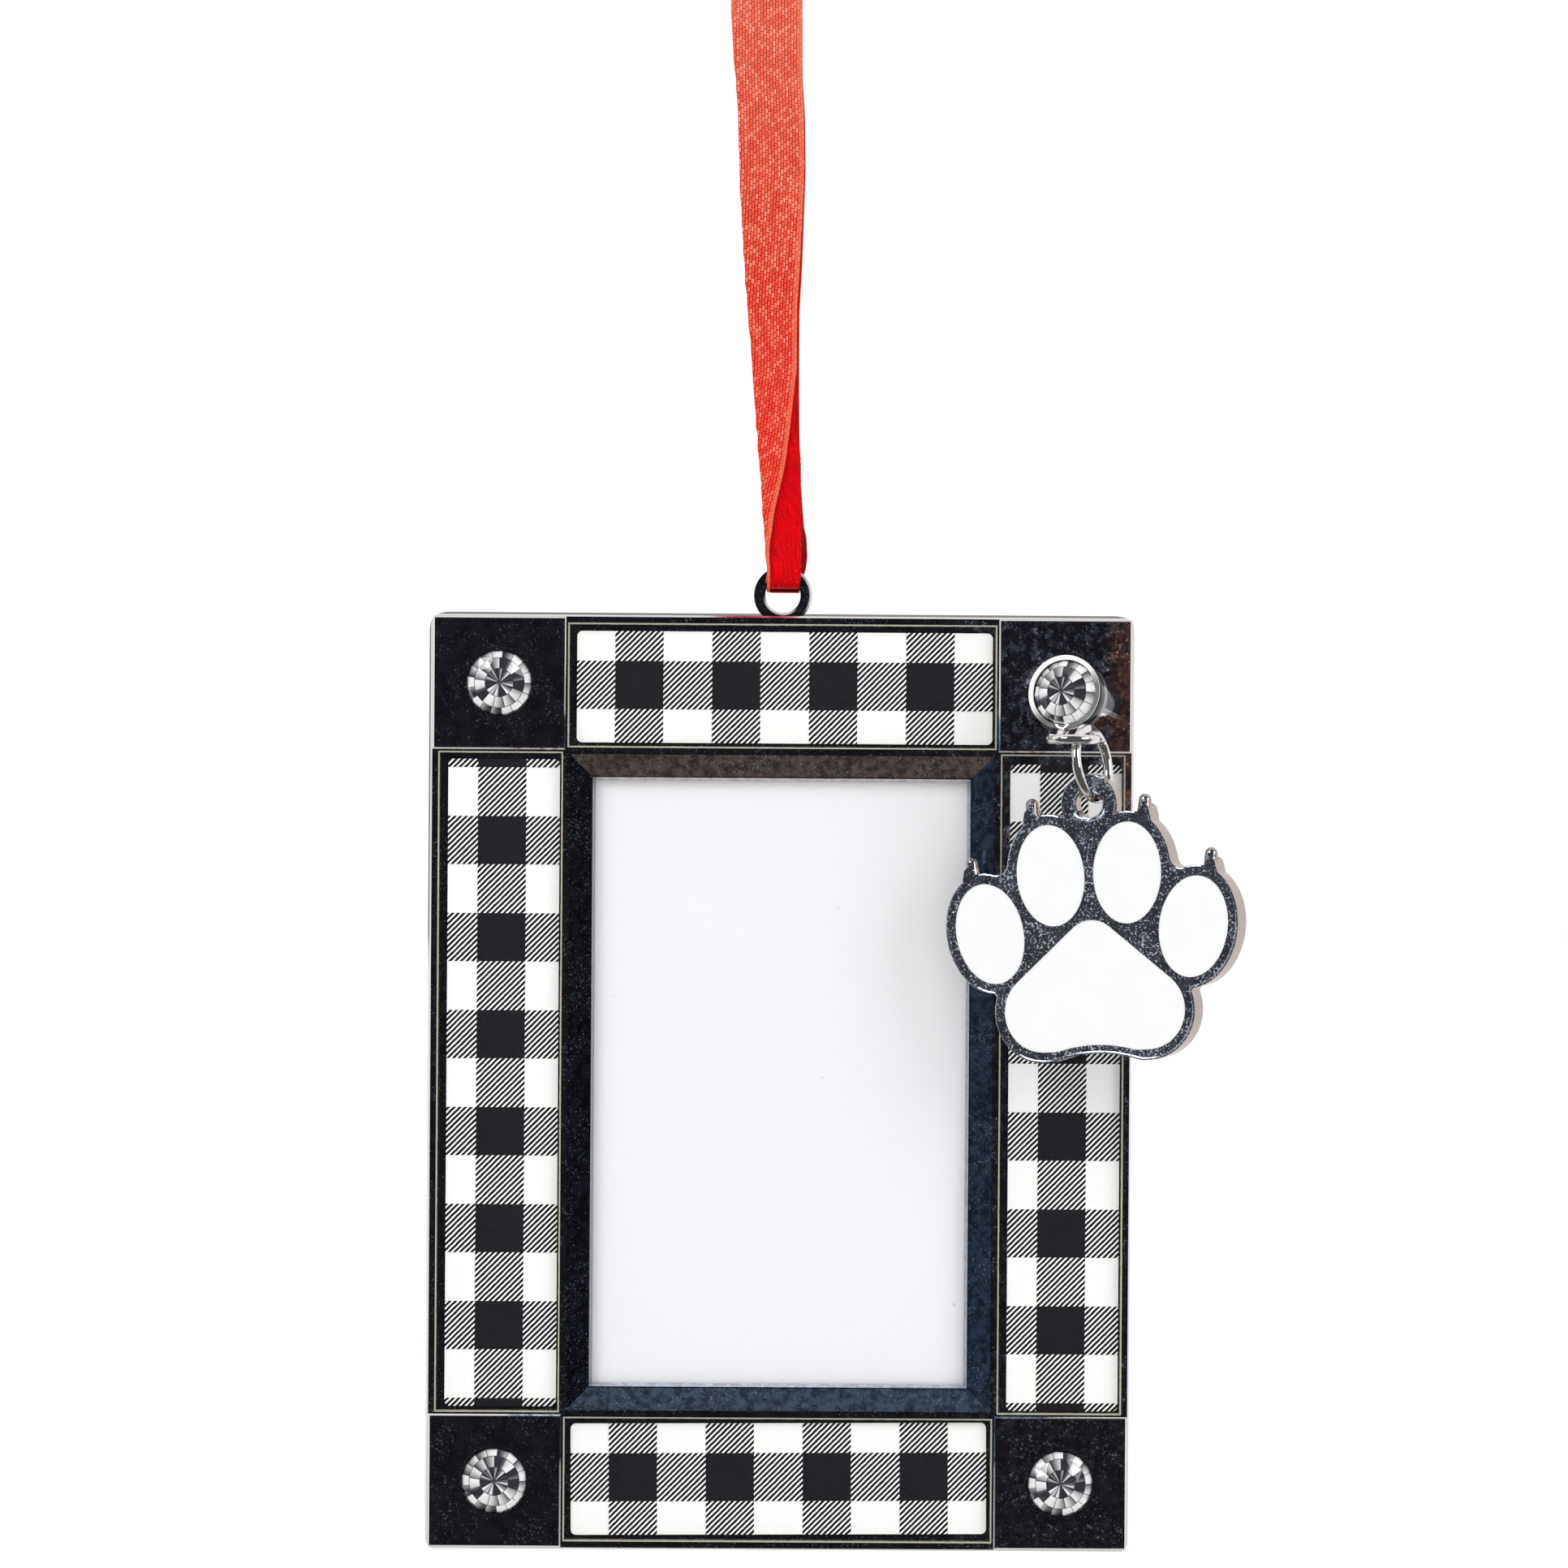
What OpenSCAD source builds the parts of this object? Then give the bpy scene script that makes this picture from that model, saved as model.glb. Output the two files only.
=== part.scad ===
// Hanging picture frame ornament with a linked paw charm.
// The picture faces -Y, +Z is up, and the origin is the top of the ribbon loop, where the hook goes.

/* [Picture] */
// Width of the picture opening, where the bevel ends
opening_w = 31.6; // [26:0.1:44]
// Height of the picture opening, where the bevel ends
opening_h = 50.8; // [40:0.1:70]
// How far the inner wall leans in below the bevel, on each side
opening_lean = 0.35; // [0.1:0.05:0.6]
// Thickness of the clear window sheet
window_t = 0.3; // [0.2:0.05:0.5]
// Thickness of the card behind the window
insert_t = 0.3; // [0.15:0.05:0.4]
// How far the sheet and the card run past the opening, on each side
insert_lap = 1.0; // [0.6:0.1:1.4]

/* [Casting] */
// Thickness of the casting, front to back
casting_t = 4.0; // [3.8:0.1:5]
// Width of the bevel round the opening
bevel_w = 1.8; // [1.2:0.1:2.6]
// Depth of the bevel
bevel_depth = 1.0; // [0.6:0.05:1.2]
// Depth of the ledge that the window sheet seats against
ledge_depth = 1.7; // [1.5:0.05:1.8]
// Flat rim between the bevel and the trays
inner_rim = 0.55; // [0.4:0.05:1]
// Flat rim outside the trays
outer_rim = 0.5; // [0.35:0.05:1]
// Width of the trays
tray_w = 10.35; // [9:0.05:13]
// Depth of the trays
tray_depth = 0.8; // [0.6:0.05:1]
// Lean of the tray walls, on each side
tray_draft = 0.15; // [0.05:0.01:0.2]
// How far a corner square runs past the inner edge of the trays
corner_past = 0.2; // [0.1:0.05:0.3]
// Gap between a corner square and the end of a tray
corner_gap = 0.15; // [0.1:0.05:0.3]
// Height of the corner squares over the rims
corner_rise = 0.15; // [0.05:0.05:0.3]
// Width of the small chamfers on the front edges
edge_chamfer = 0.15; // [0.05:0.05:0.2]
// Lean of the outer walls, on each side
side_draft = 0.25; // [0.1:0.05:0.4]
// Corner radius of the outline at the back
outline_r = 1.7; // [1:0.1:2.4]

/* [Hanging ring] */
// Outer radius of the ring on the top edge
ring_r = 2.4; // [2.2:0.05:2.8]
// Radius of the hole in that ring
ring_hole_r = 1.475; // [1.2:0.025:1.7]
// Thickness of that ring
ring_t = 2.0; // [1.6:0.1:2]
// Depth of the ring's front face behind the front of the frame
ring_set_back = 0.9; // [0.6:0.1:1.2]
// Height of the ring's centre over the top edge
ring_rise = 1.9; // [1.75:0.05:2.1]

/* [Labels] */
// Gap between a label and its tray, on each side
label_gap = 0.55; // [0.5:0.05:0.8]
// Thickness of a label
label_t = 0.15; // [0.1:0.05:0.2]
// Corner radius of a label
label_r = 0.45; // [0.2:0.05:0.9]
// Thickness of the print
print_t = 0.05; // [0.03:0.01:0.08]
// Width of the woven-check bands
check_band = 4.0; // [3:0.1:5]
// Pitch of the bands
check_pitch = 8.05; // [6:0.05:10]

/* [Stones] */
// Radius of a stone at its girdle
stone_r = 2.65; // [2.2:0.05:2.8]
// Gap between a stone and its socket
stone_gap = 0.07; // [0.04:0.01:0.1]
// Height of a stone's table over its girdle
crown_h = 0.7; // [0.5:0.05:0.9]
// Depth of a stone below its girdle
pavilion_h = 1.9; // [1.5:0.05:2]
// Thickness of a stone's girdle
girdle_t = 0.1; // [0.05:0.01:0.15]
// Width of the thin raised rim round a socket
socket_rim_w = 0.18; // [0.12:0.02:0.3]
// Height of that rim over the corner square
socket_rim_h = 0.12; // [0.05:0.01:0.2]

/* [Charm cup] */
// Length of the cup along its own axis
cup_len = 5.9; // [5.6:0.1:7]
// Radius of the cup at its rim
cup_rim_r = 3.1; // [2.95:0.05:3.3]
// Radius of the cup at its foot
cup_foot_r = 2.65; // [2.3:0.05:3]
// Turn of the cup to the left
cup_turn = 23; // [18:1:26]
// Tilt of the cup upwards
cup_tilt = 8.7; // [4:0.1:12]
// Radius of the post behind the cup
post_r = 1.1; // [0.8:0.05:1.4]
// Length of the post in the frame
post_len = 2.4; // [1.5:0.1:2.8]
// Gap round the post
post_gap = 0.05; // [0.02:0.01:0.1]
// Radius of the loop below the cup, at the middle of its wire
loop_r = 1.85; // [1.7:0.05:2]
// Radius of the loop's wire
loop_wire_r = 0.4; // [0.32:0.01:0.45]
// Droop of the loop towards the front
loop_droop = 0; // [0:1:10]

/* [Jump ring] */
// Radius of the jump ring at the middle of its wire
link_r = 2.9; // [2.75:0.05:3.2]
// Radius of the jump ring's wire
link_wire_r = 0.4; // [0.3:0.05:0.45]
// Turn of the jump ring's plane to the left
link_turn = 29; // [26:1:32]
// Sideways lean of the jump ring, from the loop to the eye
link_lean = 9; // [0:1:10]
// Play between the linked wires
link_play = 0.08; // [0.04:0.01:0.15]
// Width of the joint where the wire's ends meet
link_joint = 0.06; // [0.03:0.01:0.12]

/* [Paw charm] */
// Thickness of the paw
paw_t = 2.1; // [1.8:0.1:2.3]
// Turn of the paw to the left
paw_turn = 24; // [20:1:26]
// Lean of the paw in its own plane as it hangs
paw_lean = 3.0; // [0:0.1:5]
// Metal left outside the enamel
paw_margin = 0.82; // [0.7:0.02:1.1]
// Depth of the enamel cells
cell_depth = 0.8; // [0.5:0.05:1]
// Depth of the enamel's surface below the metal
enamel_set_back = 0.05; // [0.02:0.01:0.12]
// Outer radius of the eye on the paw
eye_r = 2.4; // [2.2:0.05:2.5]
// Radius of the hole in the eye
eye_hole_r = 1.2; // [1.15:0.05:1.3]
// Thickness of the eye
eye_t = 1.3; // [1.1:0.1:1.6]
// Distance from the middle of the eye's thickness to the back of the paw
paw_set_back = 0.85; // [0.7:0.05:1]
// Place of the jump ring's wire in the eye, to the right of its middle
wire_across = 0.48; // [0:0.02:0.5]
// Height of the wire over the eye's middle
wire_up = 0.4; // [0.3:0.02:0.5]

/* [Back] */
// Thickness of the tongues of the sliding back
tongue_t = 1.0; // [0.8:0.05:1.1]
// Width of the tongues
tongue_w = 1.0; // [0.7:0.05:1.4]
// Gap between the sliding back and its grooves
back_gap = 0.08; // [0.05:0.01:0.12]
// Radius of the thumb hollow in the sliding back
thumb_r = 7; // [5:0.5:9]

/* [Ribbon] */
// Height of the top of the loop over the hanging ring's centre
loop_rise = 66; // [60:1:80]
// Sideways lean of the loop, from the hanging ring to its top
loop_lean = 2.3; // [0:0.1:4]

/* [Hidden] */
$fn = 64;
LITTLE = 0.01;

NICKEL_DARK = "#33343a";
NICKEL_BRIGHT = "#b9b7b4";
LABEL_WHITE = "#fafaf6";
INK_BLACK = "#27242a";
INK_TINT = "#8d8c90";
RESIN_CLEAR = [0.93, 0.95, 0.93, 0.25];
STONE_CLEAR = [0.88, 0.90, 0.95, 0.6];
ENAMEL_WHITE = "#ffffff";
SHEET_CLEAR = [0.95, 0.96, 0.98, 0.2];
CARD_WHITE = "#f5f5fa";
PANEL_BLACK = "#1c1c1e";
RIBBON_RED = "#e8442f";

// Frame sizes, measured on the front face
band_w = bevel_w + inner_rim + tray_w + outer_rim;
frame_w = opening_w + 2 * band_w;
frame_h = opening_h + 2 * band_w;
back_w = frame_w + 2 * (edge_chamfer + side_draft);
back_h = frame_h + 2 * (edge_chamfer + side_draft);
corner_w = outer_rim + tray_w + corner_past;
corner_face_w = corner_w - 2 * edge_chamfer;
corner_x = (frame_w - corner_w) / 2;
corner_z = (frame_h - corner_w) / 2;

// Trays: the short ones lie above and below the picture, the long ones beside it
short_tray = frame_w - 2 * (corner_w + corner_gap);
long_tray = frame_h - 2 * (corner_w + corner_gap);
tray_x = frame_w / 2 - outer_rim - tray_w / 2;
tray_z = frame_h / 2 - outer_rim - tray_w / 2;
label_w = tray_w - 2 * label_gap;
print_front = tray_depth - label_t - print_t;

// Each label as it was laid by hand: tray centre, length, quarter turn, shift and skew
TOP = 0;
BOTTOM = 1;
LEFT = 2;
RIGHT = 3;
SIDES = [TOP, BOTTOM, LEFT, RIGHT];
tray_centre = [[0, tray_z], [0, -tray_z], [-tray_x, 0], [tray_x, 0]];
tray_length = [short_tray, short_tray, long_tray, long_tray];
tray_upright = [false, false, true, true];
label_shift = [[0.2, -0.12], [0.1, 0.05], [0.28, -0.1], [0.28, -0.28]];
label_skew = [0, 0.4, 0, 0];

// First check band along and across a label, from the label's centre
band_start_across = -check_band / 2 + 0.15;
band_start_short = -1.75 * check_pitch;
band_start_long = -3.75 * check_pitch;

// The picture's pocket and the grooves of the sliding back
ledge_w = opening_w - 2 * opening_lean;
ledge_h = opening_h - 2 * opening_lean;
insert_w = opening_w + 2 * insert_lap;
insert_h = opening_h + 2 * insert_lap;
pocket_clear = 0.15;
insert_back = ledge_depth + window_t + insert_t;
groove_front = insert_back;
panel_front = groove_front + back_gap;
groove_back = panel_front + tongue_t + back_gap;
back_opening_h = insert_h + 2 * pocket_clear + 0.6;
back_opening_x = -(insert_w / 2 + pocket_clear + 0.3);
panel_proud = casting_t - 0.1;
thumb_depth = 0.5;

// Sockets and stones
socket_r = stone_r + stone_gap;
socket_front = -corner_rise - socket_rim_h;
girdle_y = -0.05;
stone_slope = stone_r / pavilion_h;
socket_floor_r = 0.05;
table_share = 0.55;
star_share = 0.77;
culet_share = 0.27;
STONE_SIDES = 8;

// The cup's axis, foot and rim, from the picture's centre
cup_shift = [1.85, -1.4];
cup_foot = [corner_x + cup_shift[0], -corner_rise, corner_z + cup_shift[1]];
cup_axis = [-sin(cup_turn) * cos(cup_tilt), -cos(cup_turn) * cos(cup_tilt), sin(cup_tilt)];
cup_turning = [90 - cup_tilt, 0, -cup_turn];
cup_rim = cup_foot + cup_len * cup_axis;
cup_stone_drop = 0.25;
neck_r = 0.5;
neck_lap = 0.06;

// The point of the loop that carries the jump ring
hang_offset = [2.02, -1.1, -3.87];
hang_point = cup_rim + hang_offset;
hang_angle = 42;
neck_angle = 128;
function on_loop(angle) = [
  loop_r * cos(angle),
  loop_r * sin(angle) * cos(loop_droop),
  loop_r * sin(angle) * sin(loop_droop)
];
loop_centre = hang_point - on_loop(hang_angle);

// The jump ring hangs on the loop, and the paw's eye hangs on the jump ring
link_drop = link_r - loop_wire_r - link_wire_r - link_play;
link_down = [
  sin(link_lean) * cos(link_turn),
  -sin(link_lean) * sin(link_turn),
  -cos(link_lean)
];
link_bottom = hang_point + (link_drop + link_r) * link_down;
link_joint_angle = 130;

// Paw outline in its own plane, from the middle of the eye, with u to the right and v up
eye_off_centre = 0.05;
eye_rise = -0.15;
paw_back = -paw_set_back;
paw_front = paw_back + paw_t;
TOE = [5.95, 8.35];
PAD_TOP = [0, -12.1];
PAD_TOP_R = 2.45;
PAD_CORNER = [4.6, -17.1];
PAD_CORNER_R = 3.3;
PAD_HOLLOW_R = 12;
PAD_HOLLOW_RISE = 0.5;
OUTER_TOE = [8.9, -10.5];
INNER_TOE = [3.35, -5.9];
OUTER_TOE_LEAN = 11;
INNER_TOE_LEAN = 4;
OUTER_CLAW = [10.4, -6.1];
INNER_CLAW = [4.85, -1.5];
CLAW_FOOT = [[-1.1, -0.5], [-0.5, 0.35], [-0.1, 0.95], [0.25, 1.15], [0.55, 0.9], [0.7, 0.2], [0.75, -0.6]];
CLAW_ROOT_R = 0.66;
CLAW_TIP_R = 0.52;
CLAW_LEN = 1.45;
CLAW_LEAN = 4;
TOP_NOTCH = [[-2.8, -1.15], [0, -1.75], [2.8, -1.15], [3.5, -6], [-3.5, -6]];
PAW_HEART = [[-6, -8], [6, -8], [7.5, -14.5], [-7.5, -14.5]];
TOE_FILLET = 1.0;
PAD_FILLET = 0.35;

// Ribbon: route of the middle of the band from under the hanging ring's bar, up the front, over
// the hook and down the back, as [x from the hook, y, height over the middle of the hanging ring],
// with the half width and half thickness at each point
ROUTE_RISE = 66;
ROUTE_LEAN = 2.3;
bunch_half_t = 0.6;
bar_gap = 0.08;
under_bar = ring_hole_r - bar_gap - bunch_half_t;
ribbon_route = [
  [2.35, 0.1, under_bar], [2.35, -0.7, under_bar], [2.35, -1.25, 1.15], [2.5, -1.5, 2],
  [2.4, -1.55, 3.5], [2.15, -1.6, 6], [1.95, -1.7, 9], [1.8, -1.8, 12],
  [1.6, -1.95, 16], [1.45, -2.15, 21], [1.25, -2.35, 26], [1.1, -2.55, 31],
  [0.95, -2.75, 36], [0.8, -2.9, 41], [0.6, -3.05, 46], [0.45, -3.15, 51],
  [0.3, -3.2, 56], [0.15, -3.1, 60], [0.05, -2.75, 63], [0, -1.9, 65],
  [0, -0.9, 66], [0, 0, 66.25], [0, 0.9, 66], [0, 1.9, 65],
  [0.05, 2.75, 63], [0.15, 3.1, 60], [0.4, 3.2, 56], [0.65, 3.15, 51],
  [0.85, 3.05, 46], [1.05, 2.9, 41], [1.15, 2.75, 36], [1.25, 2.55, 31],
  [1.4, 2.35, 26], [1.6, 2.15, 21], [1.75, 1.95, 16], [2.0, 1.8, 12],
  [2.25, 1.7, 9], [2.6, 1.6, 6], [2.75, 1.55, 3.5], [2.7, 1.5, 2],
  [2.45, 1.25, 1.15], [2.35, 0.7, under_bar], [2.35, 0.3, under_bar]
];
ribbon_half_w = [
  1.4, 1.4, 1.4, 1.45, 1.6, 1.65, 1.7, 1.75, 1.85, 2.0, 2.2, 2.4, 2.65, 2.75, 2.85, 2.95,
  3, 3, 3, 3, 3, 3, 3, 3, 3, 3, 3, 2.95, 2.85, 2.75, 2.65, 2.4, 2.2, 2.0, 1.85, 1.75,
  1.7, 1.65, 1.6, 1.45, 1.4, 1.4, 1.4
];
ribbon_half_t = [
  0.6, 0.55, 0.5, 0.4, 0.35, 0.35, 0.3, 0.3, 0.3, 0.25, 0.25, 0.2, 0.2, 0.2, 0.2, 0.2,
  0.2, 0.2, 0.2, 0.2, 0.2, 0.2, 0.2, 0.2, 0.2, 0.2, 0.2, 0.2, 0.2, 0.2, 0.2, 0.2, 0.25,
  0.25, 0.3, 0.3, 0.3, 0.35, 0.35, 0.4, 0.5, 0.55, 0.6
];
RIBBON_SIDES = 8;

// Place of the picture's centre, on the front face
frame_place = [
  loop_lean,
  -(ring_set_back + ring_t / 2),
  -(loop_rise + frame_h / 2 + ring_rise)
];

// Puts a piece drawn round the picture's centre where it hangs
module hung() {
  translate(frame_place) children();
}

// A drawing of the XZ plane, as a plate from the depth y0 to y1
module plate(y0, y1) {
  rotate([90, 0, 0])
    translate([0, 0, -y1])
      linear_extrude(y1 - y0) children();
}

// A block whose size goes from front [w, h] at y0 to back [w, h] at y1
module drafted_block(front, back, y0, y1) {
  reach = max(front[0], front[1], back[0], back[1]) + 1;
  intersection() {
    translate([0, 0, -reach / 2])
      linear_extrude(reach)
        polygon([[-front[0] / 2, y0], [front[0] / 2, y0], [back[0] / 2, y1], [-back[0] / 2, y1]]);
    rotate([90, 0, 90])
      translate([0, 0, -reach / 2])
        linear_extrude(reach)
          polygon([[y0, -front[1] / 2], [y0, front[1] / 2], [y1, back[1] / 2], [y1, -back[1] / 2]]);
  }
}

module rounded_rect(size, r) {
  square([size[0] - 2 * r, size[1]], center = true);
  square([size[0], size[1] - 2 * r], center = true);
  for (sx = [-1, 1], sz = [-1, 1])
    translate([sx * (size[0] / 2 - r), sz * (size[1] / 2 - r)]) circle(r, $fn = 32);
}

function grown(size, by) = [size[0] + 2 * by, size[1] + 2 * by];

// Casting
module casting_body() {
  face = [frame_w, frame_h];
  intersection() {
    union() {
      drafted_block(face, grown(face, edge_chamfer), 0, edge_chamfer);
      drafted_block(grown(face, edge_chamfer), [back_w, back_h], edge_chamfer, casting_t);
    }
    plate(-1, casting_t + 1) rounded_rect([back_w, back_h], outline_r);
  }
}

module corner_square() {
  drafted_block([corner_face_w, corner_face_w], [corner_w, corner_w], -corner_rise, LITTLE);
}

module socket_rim() {
  plate(socket_front, 0) circle(socket_r + socket_rim_w);
}

module socket_hole() {
  plate(socket_front - 1, girdle_y + girdle_t) circle(socket_r);
  depth = (socket_r - socket_floor_r) / stone_slope;
  translate([0, girdle_y + girdle_t, 0])
    rotate([-90, 0, 0])
      cylinder(h = depth, r1 = socket_r, r2 = socket_floor_r);
}

module picture_hole() {
  opening = [opening_w, opening_h];
  drafted_block(grown(opening, bevel_w + 1), grown(opening, bevel_w), -1, 0);
  drafted_block(grown(opening, bevel_w), opening, 0, bevel_depth);
  drafted_block(grown(opening, -0.1), [ledge_w, ledge_h], bevel_depth - LITTLE, ledge_depth);
  plate(ledge_depth, casting_t + 1)
    square(grown([insert_w, insert_h], pocket_clear), center = true);
}

module back_grooves() {
  groove_h = back_opening_h + 2 * (tongue_w + back_gap);
  groove_x = back_opening_x - tongue_w - back_gap;
  reach = back_w;
  plate(groove_front, groove_back)
    translate([groove_x, -groove_h / 2]) square([reach, groove_h]);
  plate(groove_front, casting_t + 1)
    translate([back_opening_x, -back_opening_h / 2]) square([reach, back_opening_h]);
}

module tray_hole(side) {
  size = tray_upright[side] ? [tray_w, tray_length[side]] : [tray_length[side], tray_w];
  translate([tray_centre[side][0], 0, tray_centre[side][1]]) {
    drafted_block(grown(size, tray_draft), size, -1, 0);
    drafted_block(size, grown(size, -tray_draft), 0, tray_depth);
  }
}

module hanging_ring() {
  translate([0, 0, frame_h / 2 + ring_rise])
    plate(ring_set_back, ring_set_back + ring_t) circle(ring_r);
}

module frame_casting() {
  color(NICKEL_DARK) hung() difference() {
    union() {
      casting_body();
      hanging_ring();
      for (sx = [-1, 1], sz = [-1, 1])
        translate([sx * corner_x, 0, sz * corner_z]) corner_square();
      for (corner = [[-1, 1], [-1, -1], [1, -1]])
        translate([corner[0] * corner_x, 0, corner[1] * corner_z]) socket_rim();
    }
    for (side = SIDES) tray_hole(side);
    picture_hole();
    back_grooves();
    for (corner = [[-1, 1], [-1, -1], [1, -1]])
      translate([corner[0] * corner_x, 0, corner[1] * corner_z]) socket_hole();
    translate([cup_foot[0], 0, cup_foot[2]])
      plate(-1, post_len + post_gap) circle(post_r + post_gap);
    translate([0, 0, frame_h / 2 + ring_rise])
      plate(ring_set_back - 1, ring_set_back + ring_t + 1) circle(ring_hole_r);
  }
}

// Labels, print and resin
module on_label(side) {
  centre = tray_centre[side] + label_shift[side];
  translate([centre[0], 0, centre[1]]) rotate([0, -label_skew[side], 0]) children();
}

function label_size(side) = let (length = tray_length[side] - 2 * label_gap)
  tray_upright[side] ? [label_w, length] : [length, label_w];

module label(side) {
  color(LABEL_WHITE) hung() on_label(side)
    plate(tray_depth - label_t, tray_depth) rounded_rect(label_size(side), label_r);
}

module top_label() { label(TOP); }
module bottom_label() { label(BOTTOM); }
module left_label() { label(LEFT); }
module right_label() { label(RIGHT); }

// Bands that run up the label, as wide strips of the whole height
module upright_bands(side) {
  size = label_size(side);
  count = tray_upright[side] ? 0 : ceil(size[0] / check_pitch);
  start = tray_upright[side] ? -band_start_across - check_band : band_start_short;
  for (i = [0:count])
    translate([start + i * check_pitch, -size[1]]) square([check_band, 2 * size[1]]);
}

module level_bands(side) {
  size = label_size(side);
  count = tray_upright[side] ? ceil(size[1] / check_pitch) : 0;
  start = tray_upright[side] ? band_start_long : band_start_across;
  for (i = [0:count])
    translate([-size[0], start + i * check_pitch]) square([2 * size[0], check_band]);
}

module black_fields(side) {
  intersection() {
    rounded_rect(label_size(side), label_r);
    upright_bands(side);
    level_bands(side);
  }
}

module tint_fields(side) {
  intersection() {
    rounded_rect(label_size(side), label_r);
    difference() {
      union() {
        upright_bands(side);
        level_bands(side);
      }
      intersection() {
        upright_bands(side);
        level_bands(side);
      }
    }
  }
}

module check_black() {
  color(INK_BLACK) hung() for (side = SIDES)
    on_label(side) plate(print_front, print_front + print_t) black_fields(side);
}

module check_tint() {
  color(INK_TINT) hung() for (side = SIDES)
    on_label(side) plate(print_front, print_front + print_t) tint_fields(side);
}

module resin(side) {
  size = tray_upright[side] ? [tray_w, tray_length[side]] : [tray_length[side], tray_w];
  color(RESIN_CLEAR) hung() difference() {
    translate([tray_centre[side][0], 0, tray_centre[side][1]])
      drafted_block(size, grown(size, -tray_draft), 0, tray_depth);
    on_label(side) plate(print_front, tray_depth + 1) rounded_rect(label_size(side), label_r);
  }
}

module top_resin() { resin(TOP); }
module bottom_resin() { resin(BOTTOM); }
module left_resin() { resin(LEFT); }
module right_resin() { resin(RIGHT); }

// A stone with its girdle at y = 0 and its table towards -Y: eight kites round an eight-sided
// table, with stars and girdle facets between them, and eight long facets to the point
function facing(r, angle, y) = [r * cos(angle), y, r * sin(angle)];

module stone() {
  n = STONE_SIDES;
  step = 360 / n;
  table_r = table_share * stone_r;
  star_r = star_share * stone_r;
  culet_r = culet_share * stone_r;
  crown_slope = crown_h / (stone_r - table_r);
  star_y = -crown_h + (star_r * cos(step / 2) - table_r) * crown_slope;
  culet_y = girdle_t + pavilion_h - culet_r * cos(step / 2) * pavilion_h / stone_r;
  points = concat(
    [for (k = [0:n - 1]) facing(table_r, k * step, -crown_h)],
    [for (k = [0:n - 1]) facing(star_r, (k + 0.5) * step, star_y)],
    [for (k = [0:2 * n - 1]) facing(stone_r, k * step / 2, 0)],
    [for (k = [0:2 * n - 1]) facing(stone_r, k * step / 2, girdle_t)],
    [for (k = [0:n - 1]) facing(culet_r, (k + 0.5) * step, culet_y)],
    [[0, girdle_t + pavilion_h, 0]]
  );
  table = 0;
  star = n;
  upper = 2 * n;
  lower = 4 * n;
  culet = 6 * n;
  tip = 7 * n;
  faces = concat(
    [[for (k = [0:n - 1]) table + n - 1 - k]],
    [for (k = [0:n - 1]) [table + k, table + (k + 1) % n, star + k]],
    [for (k = [0:n - 1]) [table + k, star + k, upper + 2 * k, star + (k + n - 1) % n]],
    [for (k = [0:n - 1]) [star + k, upper + 2 * k + 1, upper + 2 * k]],
    [for (k = [0:n - 1]) [star + k, upper + (2 * k + 2) % (2 * n), upper + 2 * k + 1]],
    [for (k = [0:2 * n - 1]) [
      upper + k, upper + (k + 1) % (2 * n), lower + (k + 1) % (2 * n), lower + k
    ]],
    [for (k = [0:n - 1]) [lower + 2 * k, lower + 2 * k + 1, culet + k]],
    [for (k = [0:n - 1]) [lower + 2 * k + 1, lower + (2 * k + 2) % (2 * n), culet + k]],
    [for (k = [0:n - 1]) [tip, culet + (k + n - 1) % n, lower + 2 * k, culet + k]]
  );
  polyhedron(points, faces, convexity = 2);
}

module set_stone(corner, turn) {
  color(STONE_CLEAR) hung()
    translate([corner[0] * corner_x, girdle_y, corner[1] * corner_z])
      rotate([0, turn, 0]) stone();
}

module crystal_top_left() { set_stone([-1, 1], 8); }
module crystal_bottom_left() { set_stone([-1, -1], 31); }
module crystal_bottom_right() { set_stone([1, -1], -8); }

module crystal_top_right() {
  color(STONE_CLEAR) hung()
    translate(cup_rim) rotate(cup_turning) rotate([-90, 0, 0])
      translate([0, cup_stone_drop, 0]) rotate([0, 17, 0]) stone();
}

// Cup: a tapered body cut off along the corner square, with its post, socket, neck and loop
module cup_loop() {
  translate(loop_centre) rotate([loop_droop, 0, 0])
    rotate_extrude() translate([loop_r, 0]) circle(loop_wire_r, $fn = 32);
}

module cup_neck() {
  rim_bottom = cup_rim - 0.9 * cup_axis - [0, 0, cup_rim_r - neck_r];
  hull() {
    translate(rim_bottom) sphere(neck_r, $fn = 32);
    translate(loop_centre + on_loop(neck_angle)) sphere(loop_wire_r + neck_lap, $fn = 32);
  }
}

module charm_cup() {
  root = 3;
  foot_slope = (cup_rim_r - cup_foot_r) / cup_len;
  color(NICKEL_BRIGHT) hung() difference() {
    union() {
      intersection() {
        translate(cup_foot) rotate(cup_turning)
          translate([0, 0, -root])
            cylinder(h = cup_len + root, r1 = cup_foot_r - root * foot_slope, r2 = cup_rim_r);
        translate(cup_foot - [10, 20, 10]) cube([20, 20, 20]);
      }
      translate([cup_foot[0], 0, cup_foot[2]]) plate(-corner_rise - LITTLE, post_len) circle(post_r);
      cup_loop();
      cup_neck();
    }
    translate(cup_rim) rotate(cup_turning) {
      translate([0, 0, -cup_stone_drop - girdle_t]) cylinder(h = 2, r = socket_r);
      depth = (socket_r - socket_floor_r) / stone_slope;
      translate([0, 0, -cup_stone_drop - girdle_t - depth])
        cylinder(h = depth, r1 = socket_floor_r, r2 = socket_r);
    }
  }
}

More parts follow.
